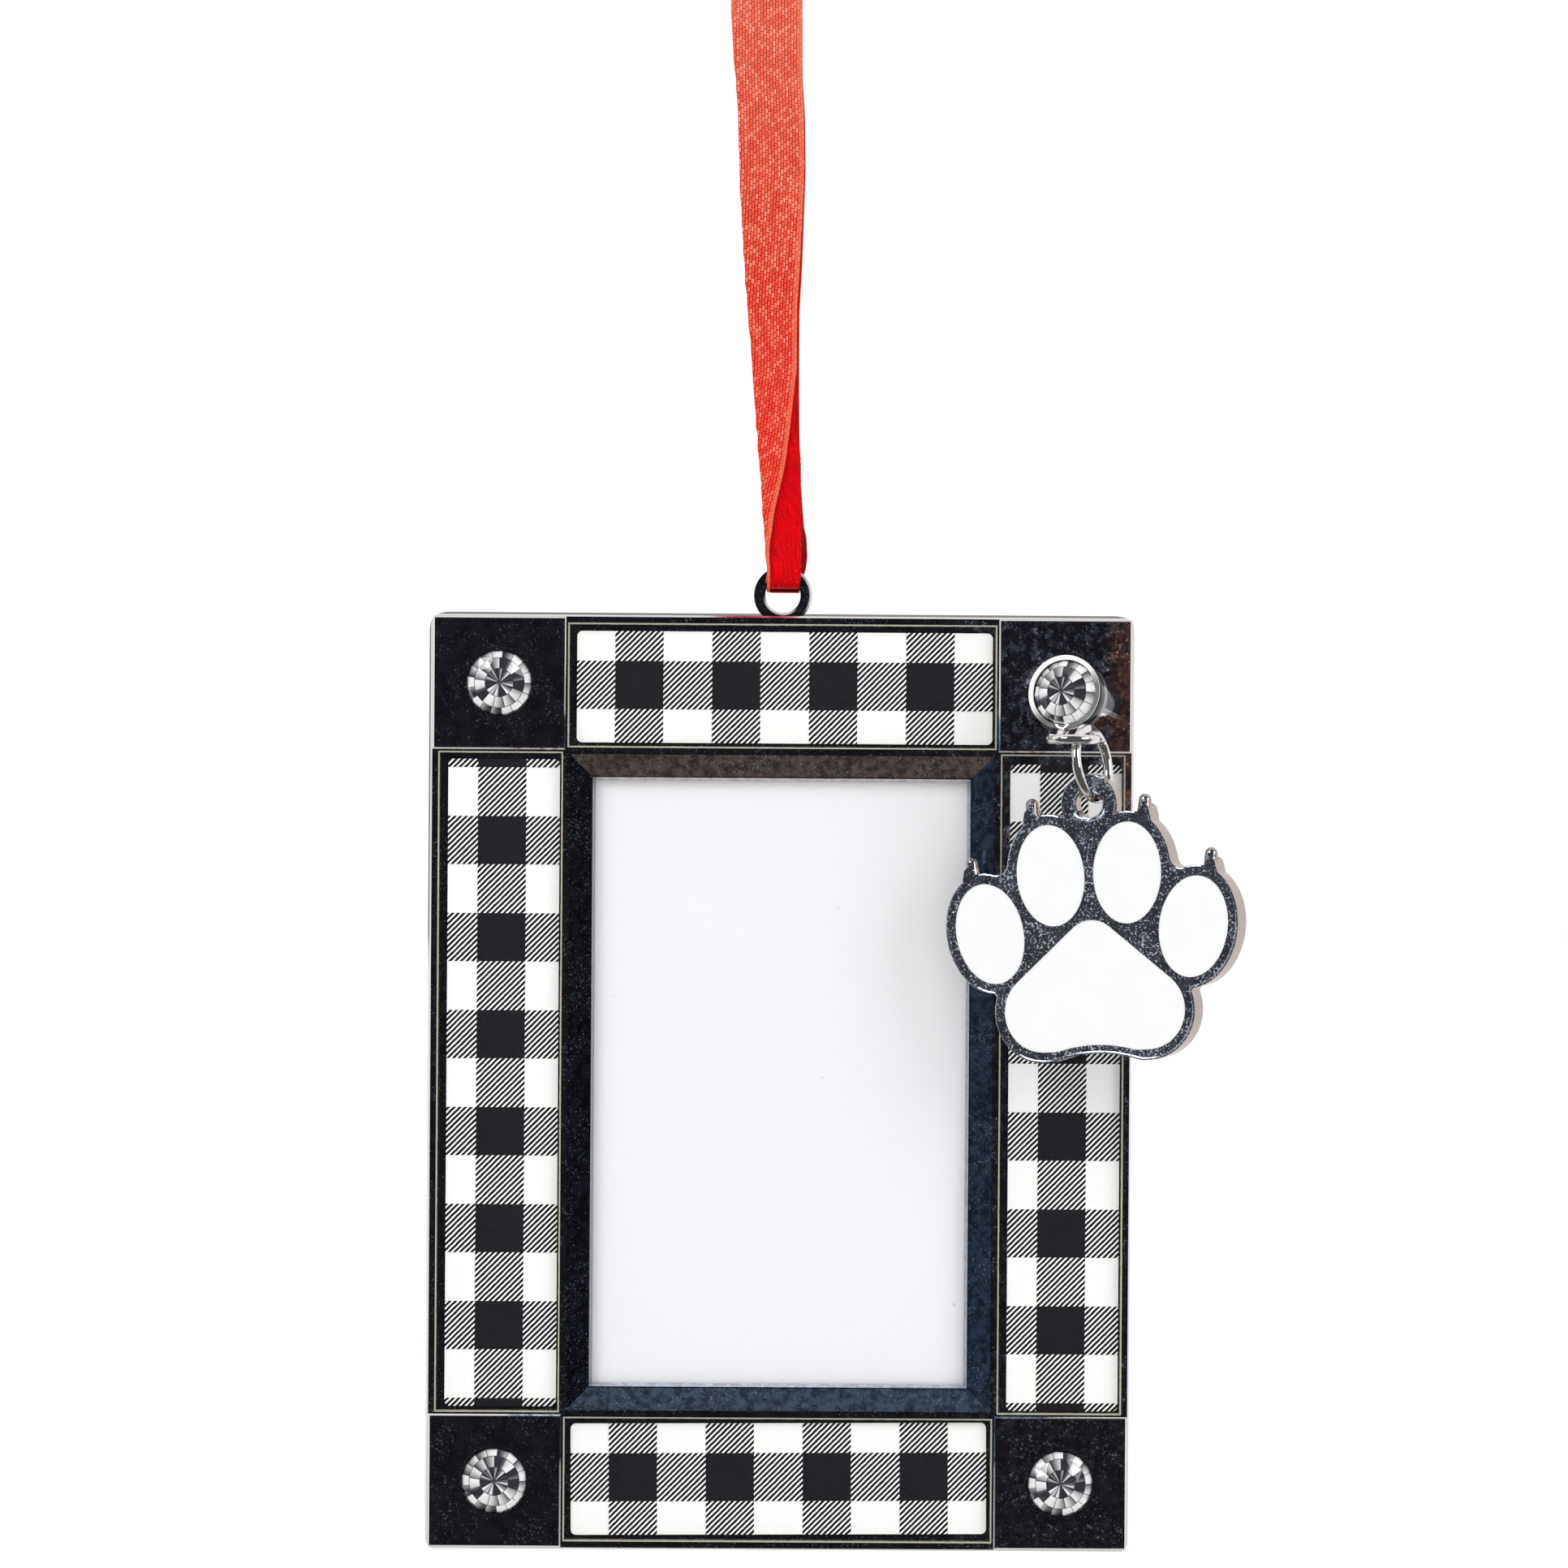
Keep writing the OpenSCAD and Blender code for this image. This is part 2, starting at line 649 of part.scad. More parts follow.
module jump_ring() {
  color(NICKEL_BRIGHT) hung()
    translate(hang_point) rotate([0, -link_lean, -link_turn])
      translate([0, 0, -link_drop]) rotate([0, 90, 0]) difference() {
        rotate_extrude() translate([link_r, 0]) circle(link_wire_r, $fn = 32);
        rotate([0, 0, link_joint_angle])
          translate([link_r, 0, 0]) cube([2, link_joint, 2], center = true);
      }
}

// Paw, drawn in its own plane: an ellipse of a given size, grown all round
function ellipse_points(size, by, sides) = [
  for (i = [0:sides - 1]) let (a = (i + 0.5) * 360 / sides)
    [(size[0] / 2 + by) * cos(a), (size[1] / 2 + by) * sin(a)]
];

module toe(place, lean, by = 0) {
  translate(place) rotate(-sign(place[0]) * lean) polygon(ellipse_points(TOE, by, 48));
}

module pad(by = 0) {
  bottom = PAD_CORNER[1] - PAD_CORNER_R - by;
  rise = PAD_HOLLOW_RISE + by / 5;
  offset(r = 1.5, $fn = 24) offset(delta = -1.5) difference() {
    hull() {
      translate(PAD_TOP) circle(PAD_TOP_R + by, $fn = 32);
      for (s = [-1, 1])
        translate([s * PAD_CORNER[0], PAD_CORNER[1]]) circle(PAD_CORNER_R + by, $fn = 32);
    }
    translate([0, bottom + rise - PAD_HOLLOW_R]) circle(PAD_HOLLOW_R, $fn = 96);
  }
}

module toes(by = 0) {
  for (s = [-1, 1]) {
    toe([s * OUTER_TOE[0], OUTER_TOE[1]], OUTER_TOE_LEAN, by);
    toe([s * INNER_TOE[0], INNER_TOE[1]], INNER_TOE_LEAN, by);
  }
}

module claw_feet() {
  for (s = [0, 1]) mirror([s, 0]) {
    translate(OUTER_CLAW) polygon(CLAW_FOOT);
    translate(INNER_CLAW) polygon(CLAW_FOOT);
  }
}

// Four blunt claws, each a tapered round nub that stands on its toe
module claws() {
  for (s = [0, 1], place = [OUTER_CLAW, INNER_CLAW])
    mirror([s, 0, 0]) translate([place[0], place[1], paw_front - CLAW_ROOT_R])
      rotate([-90, 0, -CLAW_LEAN]) {
        cylinder(h = CLAW_LEN, r1 = CLAW_ROOT_R, r2 = CLAW_TIP_R, $fn = 32);
        translate([0, 0, CLAW_LEN]) sphere(CLAW_TIP_R, $fn = 32);
      }
}

module filleted(r) {
  offset(r = -r, $fn = 24) offset(r = r, $fn = 24) children();
}

module paw_outline() {
  filleted(PAD_FILLET) {
    filleted(TOE_FILLET) toes(paw_margin);
    pad(paw_margin);
    polygon(TOP_NOTCH);
    polygon(PAW_HEART);
    claw_feet();
  }
}

// Puts a piece drawn round the middle of the eye on the jump ring, as it hangs
module on_link() {
  hung() translate(link_bottom) rotate([90, 0, -paw_turn])
    rotate([0, 0, paw_lean])
      translate([-eye_off_centre - wire_across, -eye_rise - wire_up, 0]) children();
}

module paw_casting() {
  color(NICKEL_DARK) on_link() difference() {
    union() {
      translate([0, 0, paw_back]) linear_extrude(paw_t) paw_outline();
      claws();
      translate([eye_off_centre, eye_rise, -eye_t / 2]) cylinder(h = eye_t, r = eye_r);
    }
    translate([eye_off_centre, eye_rise, -paw_t]) cylinder(h = 2 * paw_t, r = eye_hole_r);
    translate([0, 0, paw_front - cell_depth]) linear_extrude(cell_depth + 1) {
      toes();
      pad();
    }
  }
}

module enamel() {
  color(ENAMEL_WHITE) on_link()
    translate([0, 0, paw_front - cell_depth])
      linear_extrude(cell_depth - enamel_set_back) children();
}

module enamel_outer_left() { enamel() toe([-OUTER_TOE[0], OUTER_TOE[1]], OUTER_TOE_LEAN); }
module enamel_inner_left() { enamel() toe([-INNER_TOE[0], INNER_TOE[1]], INNER_TOE_LEAN); }
module enamel_inner_right() { enamel() toe(INNER_TOE, INNER_TOE_LEAN); }
module enamel_outer_right() { enamel() toe(OUTER_TOE, OUTER_TOE_LEAN); }
module enamel_pad() { enamel() pad(); }

// Window, card and sliding back
module window_sheet() {
  color(SHEET_CLEAR) hung()
    plate(ledge_depth, ledge_depth + window_t) square([insert_w, insert_h], center = true);
}

module photo_insert() {
  color(CARD_WHITE) hung()
    plate(ledge_depth + window_t, insert_back) square([insert_w, insert_h], center = true);
}

module back_panel() {
  groove_h = back_opening_h + 2 * tongue_w;
  groove_x = back_opening_x - tongue_w;
  right = frame_w / 2 + edge_chamfer;
  thumb_x = right - thumb_r - 4;
  color(PANEL_BLACK) hung() difference() {
    union() {
      plate(panel_front, panel_front + tongue_t)
        translate([groove_x, -groove_h / 2]) square([right - groove_x, groove_h]);
      plate(panel_front, panel_proud)
        translate([back_opening_x + back_gap, -back_opening_h / 2 + back_gap])
          square([right - back_opening_x - back_gap, back_opening_h - 2 * back_gap]);
    }
    intersection() {
      translate([thumb_x, 0, 0]) plate(panel_proud - thumb_depth, panel_proud + 1) circle(thumb_r);
      translate([thumb_x, 0, -back_h]) plate(0, casting_t + 1) square([thumb_r, 2 * back_h]);
    }
  }
}

// Ribbon: one band swept along its route, flat side to the front. A longer loop stretches only
// between the ring and the fold at the top, and a larger lean grows evenly down the strands.
function share(h, low, high) = min(1, max(0, (h - low) / (high - low)));

function placed(p) = [
  p[0] + (loop_lean - ROUTE_LEAN) * (1 - share(p[2], 2, 60)),
  p[1],
  p[2] - loop_rise + (loop_rise - ROUTE_RISE) * share(p[2], 2, 60)
];

ribbon_line = [for (p = ribbon_route) placed(p)];

function heading(i) = let (last = len(ribbon_line) - 1)
  ribbon_line[min(i + 1, last)] - ribbon_line[max(i - 1, 0)];

function outward(i) = let (t = heading(i)) [0, t[2], -t[1]] / norm([t[1], t[2]]);

function ribbon_ring(i) = [
  for (k = [0:RIBBON_SIDES - 1]) let (a = (k + 0.5) * 360 / RIBBON_SIDES)
    ribbon_line[i]
      + [ribbon_half_w[i] * cos(a) / cos(180 / RIBBON_SIDES), 0, 0]
      + outward(i) * ribbon_half_t[i] * sin(a) / cos(180 / RIBBON_SIDES)
];

module ribbon() {
  n = RIBBON_SIDES;
  count = len(ribbon_line);
  points = [for (i = [0:count - 1]) each ribbon_ring(i)];
  walls = [
    for (i = [0:count - 2], k = [0:n - 1]) each [
      [i * n + k, i * n + (k + 1) % n, (i + 1) * n + (k + 1) % n],
      [i * n + k, (i + 1) * n + (k + 1) % n, (i + 1) * n + k]
    ]
  ];
  start = [[for (k = [0:n - 1]) n - 1 - k]];
  end = [[for (k = [0:n - 1]) (count - 1) * n + k]];
  color(RIBBON_RED) polyhedron(points, concat(walls, start, end), convexity = 4);
}

frame_casting();
top_label();
bottom_label();
left_label();
right_label();
check_black();
check_tint();
top_resin();
bottom_resin();
left_resin();
right_resin();
crystal_top_left();
crystal_bottom_left();
crystal_bottom_right();
crystal_top_right();
charm_cup();
jump_ring();
paw_casting();
enamel_outer_left();
enamel_inner_left();
enamel_inner_right();
enamel_outer_right();
enamel_pad();
window_sheet();
photo_insert();
back_panel();
ribbon();
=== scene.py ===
# Hanging picture frame ornament with a linked paw charm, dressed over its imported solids.
# Metres, +Z up, the picture faces -Y, and the origin is the hook inside the top of the ribbon loop.
import math

import bmesh
import bpy
import numpy as np
from mathutils import Matrix, Vector


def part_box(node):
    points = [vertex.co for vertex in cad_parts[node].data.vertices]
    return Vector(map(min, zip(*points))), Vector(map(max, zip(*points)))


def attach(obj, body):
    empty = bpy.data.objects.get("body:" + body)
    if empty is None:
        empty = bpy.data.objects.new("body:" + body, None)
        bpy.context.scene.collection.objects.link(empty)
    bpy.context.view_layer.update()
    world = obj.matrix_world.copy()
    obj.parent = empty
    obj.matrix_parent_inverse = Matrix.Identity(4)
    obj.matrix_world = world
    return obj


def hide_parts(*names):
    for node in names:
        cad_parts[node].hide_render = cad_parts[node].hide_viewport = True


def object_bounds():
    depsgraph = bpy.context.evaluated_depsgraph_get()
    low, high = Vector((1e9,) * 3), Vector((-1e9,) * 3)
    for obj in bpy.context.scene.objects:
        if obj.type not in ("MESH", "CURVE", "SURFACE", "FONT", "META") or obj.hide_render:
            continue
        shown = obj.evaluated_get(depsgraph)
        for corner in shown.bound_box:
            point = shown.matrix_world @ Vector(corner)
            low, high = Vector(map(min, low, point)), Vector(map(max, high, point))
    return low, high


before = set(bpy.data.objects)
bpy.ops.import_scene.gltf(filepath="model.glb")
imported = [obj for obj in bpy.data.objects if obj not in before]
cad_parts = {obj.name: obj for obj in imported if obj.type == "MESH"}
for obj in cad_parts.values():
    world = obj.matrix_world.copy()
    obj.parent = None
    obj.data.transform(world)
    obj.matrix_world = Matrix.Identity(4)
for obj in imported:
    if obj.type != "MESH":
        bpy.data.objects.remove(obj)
cad_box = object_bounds()

# View: a long lens straight in front of the frame, which hangs from a hook out of the picture.
# It is turned, tipped and rolled by under a degree each, as the photograph is.
picture_centre = Vector((0.0023, -0.0019, -0.1065))
view_target = picture_centre + Vector((0.00017, 0, 0.02483))
view_distance = 0.6
view_yaw, view_pitch, view_roll = (math.radians(a) for a in (0.8, 0.3, 0.385))
focal_pixels, picture_pixels, sensor_width = 8916, 1932, 36
view_back = Vector((
    -math.sin(view_yaw) * math.cos(view_pitch),
    -math.cos(view_yaw) * math.cos(view_pitch),
    math.sin(view_pitch),
))
level_right = Vector((0, 0, 1)).cross(view_back).normalized()
level_up = view_back.cross(level_right)
view_right = math.cos(view_roll) * level_right + math.sin(view_roll) * level_up
view_up = math.cos(view_roll) * level_up - math.sin(view_roll) * level_right
lens = bpy.data.cameras.new("view")
lens.lens = focal_pixels * sensor_width / picture_pixels
lens.sensor_width = sensor_width
lens.clip_start = 0.01
view = bpy.data.objects.new("view", lens)
turned = Matrix((view_right, view_up, view_back)).transposed().to_4x4()
view.matrix_world = Matrix.Translation(view_target + view_distance * view_back) @ turned
bpy.context.scene.collection.objects.link(view)
bpy.context.scene.camera = view
bpy.context.scene.view_settings.view_transform = "Standard"

# Ribbon: a 6 mm red ribbon, woven face outwards and smooth satin inside, tied as one loop
# through the ring on the top edge. It is folded lengthwise where it squeezes into the ring, so
# the satin side shows beside the woven one, and it hangs over a hook above the picture.
ribbon_width = 6.0
ribbon_thick = 0.12
section_steps = 44
fold_radius = 0.16
under_bar = 0.795
hook_height = 66
# Route of the band in mm: x, y, and height over the middle of the ring on the frame
ribbon_route = np.array([
    (2.35, 0.1, under_bar), (2.35, -0.7, under_bar), (2.35, -1.25, 1.15), (2.5, -1.5, 2),
    (2.4, -1.55, 3.5), (2.15, -1.6, 6), (1.95, -1.7, 9), (1.8, -1.8, 12),
    (1.6, -1.95, 16), (1.45, -2.15, 21), (1.25, -2.35, 26), (1.1, -2.55, 31),
    (0.95, -2.75, 36), (0.8, -2.9, 41), (0.6, -3.05, 46), (0.45, -3.15, 51),
    (0.3, -3.2, 56), (0.15, -3.1, 60), (0.05, -2.75, 63), (0, -1.9, 65),
    (0, -0.9, 66), (0, 0, 66.25), (0, 0.9, 66), (0, 1.9, 65),
    (0.05, 2.75, 63), (0.15, 3.1, 60), (0.4, 3.2, 56), (0.65, 3.15, 51),
    (0.85, 3.05, 46), (1.05, 2.9, 41), (1.15, 2.75, 36), (1.25, 2.55, 31),
    (1.4, 2.35, 26), (1.6, 2.15, 21), (1.75, 1.95, 16), (2.0, 1.8, 12),
    (2.25, 1.7, 9), (2.6, 1.6, 6), (2.75, 1.55, 3.5), (2.7, 1.5, 2),
    (2.45, 1.25, 1.15), (2.35, 0.7, under_bar), (2.35, 0.3, under_bar),
]) - [0, 0, hook_height]
# Front strand in mm: height, left fold, free selvage of the woven face, right fold
front_folds = np.array([
    (-65.4, 1.0, 1.1, 3.62), (-64.6, 0.98, 1.12, 3.68), (-63.85, 0.98, 1.2, 3.75),
    (-62.7, 0.88, 1.12, 3.72), (-61.5, 0.8, 1.2, 3.7), (-59.0, 0.6, 1.55, 3.7),
    (-55.4, 0.3, 2.37, 3.66), (-52.15, 0.04, 2.78, 3.52), (-49.5, -0.16, 3.06, 3.46),
    (-47.2, -0.34, 3.3, 3.44), (-42.3, -0.76, 3.3, 3.4), (-38.3, -1.07, 3.52, 3.6),
    (-35.4, -1.3, 3.65, 3.7), (-30.5, -1.54, 3.82, 3.9), (-26.0, -1.66, 3.72, 3.8),
    (-22.6, -2.0, 3.58, 3.64), (-16.8, -2.36, 3.55, 3.6), (-10, -2.6, 3.4, 3.4),
    (-3, -2.95, 3.05, 3.05), (1, -3, 3, 3),
])
# Back strand in mm, seen from the front: height, left edge, right edge
back_folds = np.array([
    (-65.4, 1.15, 3.6), (-64.6, 1.25, 3.9), (-63.85, 1.35, 4.15), (-62.7, 1.5, 4.3),
    (-61.2, 1.35, 4.2), (-59.75, 1.0, 4.0), (-56.9, 0.7, 3.78), (-54.6, 0.45, 3.68),
    (-52.5, 0.25, 3.62), (-49.3, 0.05, 3.56), (-46.7, -0.1, 3.56), (-42.3, -0.5, 3.56),
    (-38.3, -0.8, 3.76), (-30.5, -1.3, 4.0), (-26, -1.5, 3.92), (-22.6, -1.85, 3.7),
    (-16.8, -2.25, 3.65), (-10, -2.55, 3.42), (-3, -2.9, 3.08), (1, -3, 3),
])
# Heights in mm, and how far the band stands off its route there, over the ring
lift_heights, lift_amounts = (-65.1, -64, -62, -56, -45), (0.5, 0.5, 0.3, 0.12, 0)


def smooth_route(points, step):
    """Points along one smooth curve through the given points, about a step apart."""
    ends = np.vstack([2 * points[0] - points[1], points, 2 * points[-1] - points[-2]])
    found = []
    for a, b, c, d in zip(ends, ends[1:], ends[2:], ends[3:]):
        for t in np.linspace(0, 1, max(2, math.ceil(np.linalg.norm(c - b) / step)), endpoint=False):
            found.append(
                b + 0.5 * t * (c - a + t * (2 * a - 5 * b + 4 * c - d + t * (3 * (b - c) + d - a)))
            )
    return np.array(found + [points[-1]])


def walked_length(line):
    """How far along a line each of its points is."""
    return np.concatenate([[0], np.cumsum(np.linalg.norm(np.diff(line, axis=0), axis=1))])


def folded_section(left, free_edge, right, turn_r, steps):
    """The band's section as it is folded: across, outwards, from its free edge to the other."""
    lap, least_turn, flat_width, spare = 0.02, 0.01, ribbon_width - 0.04, 0.1
    half = np.linspace(0, math.pi, 7)
    start = max(free_edge, left + turn_r + lap)
    turn_r = min(turn_r, max(least_turn, 0.25 * (ribbon_width - start + left)))
    line = [(start, 0)]
    line += [(left + turn_r - turn_r * math.sin(a), -turn_r + turn_r * math.cos(a)) for a in half]
    line += [
        (right - turn_r + turn_r * math.sin(a), -3 * turn_r + turn_r * math.cos(a)) for a in half
    ]
    line.append((right - turn_r - ribbon_width, -4 * turn_r))
    if start - left >= flat_width:
        line = [(start, 0), (start - ribbon_width - spare, 0)]
    line = np.array(line)
    walked = walked_length(line)
    at = np.linspace(0, ribbon_width, steps + 1)
    return np.stack([np.interp(at, walked, line[:, 0]), np.interp(at, walked, line[:, 1])], 1), at


def strand_edges(height, behind):
    """Left fold, free selvage and right fold at a height, on the front strand or the one behind."""
    table = back_folds if behind else front_folds
    left, *free_edge, right = (np.interp(height, table[:, 0], column) for column in table.T[1:])
    return left, free_edge[0] if free_edge else right, right


def tube_faces(rings, steps):
    """Faces of a closed flat tube, and the finish of each: 0 for the weave, 1 for the satin."""
    ring = 2 * (steps + 1)
    faces, sides = [], []
    for i in range(rings - 1):
        a, b = i * ring, (i + 1) * ring
        for k in range(steps):
            m = steps + 1 + k
            faces += [(a + k, b + k, b + k + 1, a + k + 1), (a + m + 1, b + m + 1, b + m, a + m)]
            sides += [0, 1]
        faces.append((a + steps + 1, b + steps + 1, b, a))
        faces.append((a + steps, b + steps, b + ring - 1, a + ring - 1))
        sides += [0, 0]
    for base, order in ((0, 1), ((rings - 1) * ring, -1)):
        for k in range(steps):
            quad = (base + k, base + k + 1, base + steps + 2 + k, base + steps + 1 + k)
            faces.append(quad[::order])
            sides.append(1)
    return faces, sides


def woven_band(name, route, steps):
    """A closed flat tube along the route, with a map of its width and length in mm."""
    route_step, knot_gap, edge_wander = 0.3, 0.9, 0.03
    line = smooth_route(route, route_step)
    ahead = np.gradient(line, axis=0)
    along = walked_length(line)
    rng = np.random.default_rng(4)
    knots = np.arange(0, along[-1] + 1, knot_gap)
    wobble = np.interp(along, knots, rng.normal(0, edge_wander, len(knots)))
    lifted = np.interp(line[:, 2], lift_heights, lift_amounts)
    top = np.argmax(line[:, 2])
    points, maps = [], []
    for i, (place, way) in enumerate(zip(line, ahead)):
        out = np.array([0, -way[2], way[1]]) / math.hypot(way[1], way[2])
        left, free_edge, right = strand_edges(place[2], i > top)
        section, at = folded_section(left + wobble[i], free_edge, right, fold_radius, steps)
        lean = np.gradient(section, axis=0)
        lean /= np.linalg.norm(lean, axis=1)[:, None]
        normal = np.stack([lean[:, 1], -lean[:, 0]], 1)
        for side in (0.5, -0.5):
            for (x, o), u in zip(section + side * ribbon_thick * normal + [0, lifted[i]], at):
                points.append(np.array([x, place[1], place[2]]) + o * out)
                maps.append((u, along[i]))
    faces, sides = tube_faces(len(line), steps)
    mesh = bpy.data.meshes.new(name)
    mesh.from_pydata([tuple(p / 1000) for p in points], [], faces)
    uv = mesh.uv_layers.new(name="band")
    for loop in mesh.loops:
        uv.data[loop.index].uv = maps[loop.vertex_index]
    mesh.polygons.foreach_set("material_index", sides)
    mesh.polygons.foreach_set("use_smooth", [True] * len(faces))
    mesh.update()
    band = bpy.data.objects.new(name, mesh)
    bpy.context.scene.collection.objects.link(band)
    return band, along[-1] / 1000


def give(tree, socket, value):
    """Links a socket to a socket, or sets it to a number, a vector or a colour of three numbers."""
    if isinstance(value, bpy.types.NodeSocket):
        tree.links.new(value, socket)
    else:
        socket.default_value = (*value, 1) if socket.type == "RGBA" else value


def input_name(key):
    """An input's own name for a keyword: its words with capitals and spaces."""
    return key.replace("_", " ").title().replace("Ior", "IOR")


def feed(tree, shader, **values):
    """Gives a shader's inputs, named with _ for a space, their sockets or numbers."""
    for key, value in values.items():
        give(tree, shader.inputs[input_name(key)], value)


def new_finish(name, **values):
    """A material with its main shader, the values set on the shader's own sockets."""
    finish = bpy.data.materials.new(name)
    finish.use_nodes = True
    tree = finish.node_tree
    shader = tree.nodes["Principled BSDF"]
    feed(tree, shader, **values)
    return finish, tree, shader


def put(tree, kind, **values):
    """A new node, its inputs given by their names with _ for a space, or by i0, i1 and so on."""
    node = tree.nodes.new("ShaderNode" + kind)
    for key, value in values.items():
        if key[0] == "i" and key[1:].isdigit():
            give(tree, node.inputs[int(key[1:])], value)
        elif hasattr(node, key):
            setattr(node, key, value)
        else:
            give(tree, node.inputs[input_name(key)], value)
    return node


def own_place(tree):
    """The object's own coordinates, in metres."""
    return put(tree, "TexCoord").outputs["Object"]


def axes_of(tree, vector):
    """The x, y and z of a vector."""
    return tuple(put(tree, "SeparateXYZ", i0=vector).outputs)


def dot(tree, first, second):
    """The dot product of two vectors."""
    node = put(tree, "VectorMath", operation="DOT_PRODUCT", i0=first, i1=tuple(second))
    return node.outputs["Value"]


def calc(tree, operation, *values):
    """The result of one sum on numbers or sockets."""
    node = tree.nodes.new("ShaderNodeMath")
    node.operation = operation
    for socket, value in zip(node.inputs, values):
        give(tree, socket, value)
    return node.outputs[0]


def product(tree, first, *others):
    """The product of two or more numbers or sockets."""
    for other in others:
        first = calc(tree, "MULTIPLY", first, other)
    return first


def unless(tree, share):
    """One less a share."""
    return calc(tree, "SUBTRACT", 1, share)


def step_up(tree, value, low, high, out_low=0.0, out_high=1.0):
    """Goes smoothly from out_low to out_high as the value goes from low to high."""
    node = put(tree, "MapRange", interpolation_type="SMOOTHSTEP", i0=value, i1=low, i2=high,
               i3=out_low, i4=out_high)
    return node.outputs[0]


def blend_colour(tree, share, first, second):
    """The first colour where the share is 0, the second where it is 1."""
    node = tree.nodes.new("ShaderNodeMix")
    node.data_type = "RGBA"
    give(tree, node.inputs[0], share)
    give(tree, node.inputs[6], first)
    give(tree, node.inputs[7], second)
    return node.outputs[2]


def layered(tree, colour, *layers):
    """A colour with others laid over it in turn, each given as its share and its colour."""
    for share, layer in layers:
        colour = blend_colour(tree, share, colour, layer)
    return colour


def noise(tree, place, scale, detail=2.0, roughness=0.5):
    """Soft random values from 0 to 1 round a half."""
    node = put(tree, "TexNoise", Vector=place, Scale=scale, Detail=detail, Roughness=roughness)
    return node.outputs[0]


def raised(tree, shader, height, distance, strength=1.0):
    """Bumps the shader's surface by a height, in metres."""
    node = put(tree, "Bump", Strength=strength, Distance=distance, Height=height)
    tree.links.new(node.outputs[0], shader.inputs["Normal"])


def across_and_along(tree):
    """The band's own map: millimetres across it and along it."""
    uv = put(tree, "UVMap", uv_map="band").outputs[0]
    across, along, _ = axes_of(tree, uv)
    return across, along, uv


def off_middle(tree, share):
    """0 in the middle of a cell and 1 at both of its ends."""
    return calc(tree, "ABSOLUTE", calc(tree, "SUBTRACT", product(tree, share, 2), 1))


# The weave in mm: how wide and long a stitch is, and how far each column is shifted
stitch_width, stitch_length, column_shift = 0.25, 0.5, 0.19
ribbon_weave, tree, shader = new_finish("ribbon_weave", roughness=0.6, specular_ior_level=0.12)
across, along, place = across_and_along(tree)
wander = product(tree, calc(tree, "SUBTRACT", noise(tree, place, 1.3), 0.5), 0.12)
across = calc(tree, "ADD", across, wander)
columns = calc(tree, "DIVIDE", across, stitch_width)
column, in_column = calc(tree, "FLOOR", columns), calc(tree, "FRACT", columns)
shifted = calc(tree, "ADD", along, product(tree, column, column_shift))
rows = calc(tree, "DIVIDE", shifted, stitch_length)
row, in_row = calc(tree, "FLOOR", rows), calc(tree, "FRACT", rows)
from_side, from_end = off_middle(tree, in_column), off_middle(tree, in_row)
side_round = unless(tree, calc(tree, "POWER", from_side, 3.5))
end_round = unless(tree, calc(tree, "POWER", from_end, 6))
hump = product(tree, side_round, end_round)
cell = put(tree, "CombineXYZ", i0=column, i1=row)
luck = put(tree, "TexWhiteNoise", Vector=cell.outputs[0]).outputs[0]
# Painted highlights on the left edge of the stitches, more of them towards one side of the band,
# and painted shade on the right of each stitch
more_highlight_side = step_up(tree, across, 4.4, 5.2)
lit_edge = product(
    tree,
    step_up(tree, in_column, 0.02, 0.1),
    step_up(tree, in_column, 0.34, 0.2),
    step_up(tree, from_end, 0.85, 0.6),
)
highlight_luck = calc(tree, "MULTIPLY_ADD", more_highlight_side, 0.15, luck)
painted_stitch_highlight = product(tree, lit_edge, step_up(tree, highlight_luck, 0.45, 0.95, 0.05, 0.95))
painted_stitch_shade = product(
    tree, step_up(tree, in_column, 0.72, 0.86), step_up(tree, luck, 0.75, 0.15, 0.25, 0.9)
)
tone = step_up(tree, noise(tree, place, 0.35), 0.35, 0.65)
low_down, high_up = step_up(tree, along, 34, 10), step_up(tree, along, 25, 50)
selvage = calc(
    tree, "MAXIMUM", step_up(tree, across, 0.42, 0.3), step_up(tree, across, 5.6, 5.75)
)
# The back strand's inner fold lies in the shade of the front one, so it shows deep red
inner_fold = product(tree, step_up(tree, along, 90, 100), step_up(tree, across, 3.3, 3.6))
thread = blend_colour(tree, luck, (0.9, 0.07, 0.03), (1.0, 0.17, 0.085))
thread = blend_colour(tree, product(tree, tone, 0.35), thread, (0.88, 0.04, 0.015))
thread = blend_colour(tree, step_up(tree, hump, 0.15, 0.7), (0.3, 0.0, 0.003), thread)
thread = layered(
    tree,
    thread,
    (painted_stitch_highlight, (1.0, 0.62, 0.5)),
    (painted_stitch_shade, (0.3, 0.003, 0.004)),
    (product(tree, low_down, 0.3), (0.93, 0.012, 0.012)),
    (product(tree, high_up, 0.09), (1.0, 0.6, 0.4)),
    (product(tree, selvage, 0.55), (0.95, 0.2, 0.1)),
    (product(tree, inner_fold, 0.92), (0.4, 0.0, 0.004)),
)
feed(tree, shader, base_color=thread)
raised(tree, shader, hump, 0.00005)

ribbon_satin, tree, shader = new_finish("ribbon_satin", roughness=0.5, specular_ior_level=0.06)
across, along, place = across_and_along(tree)
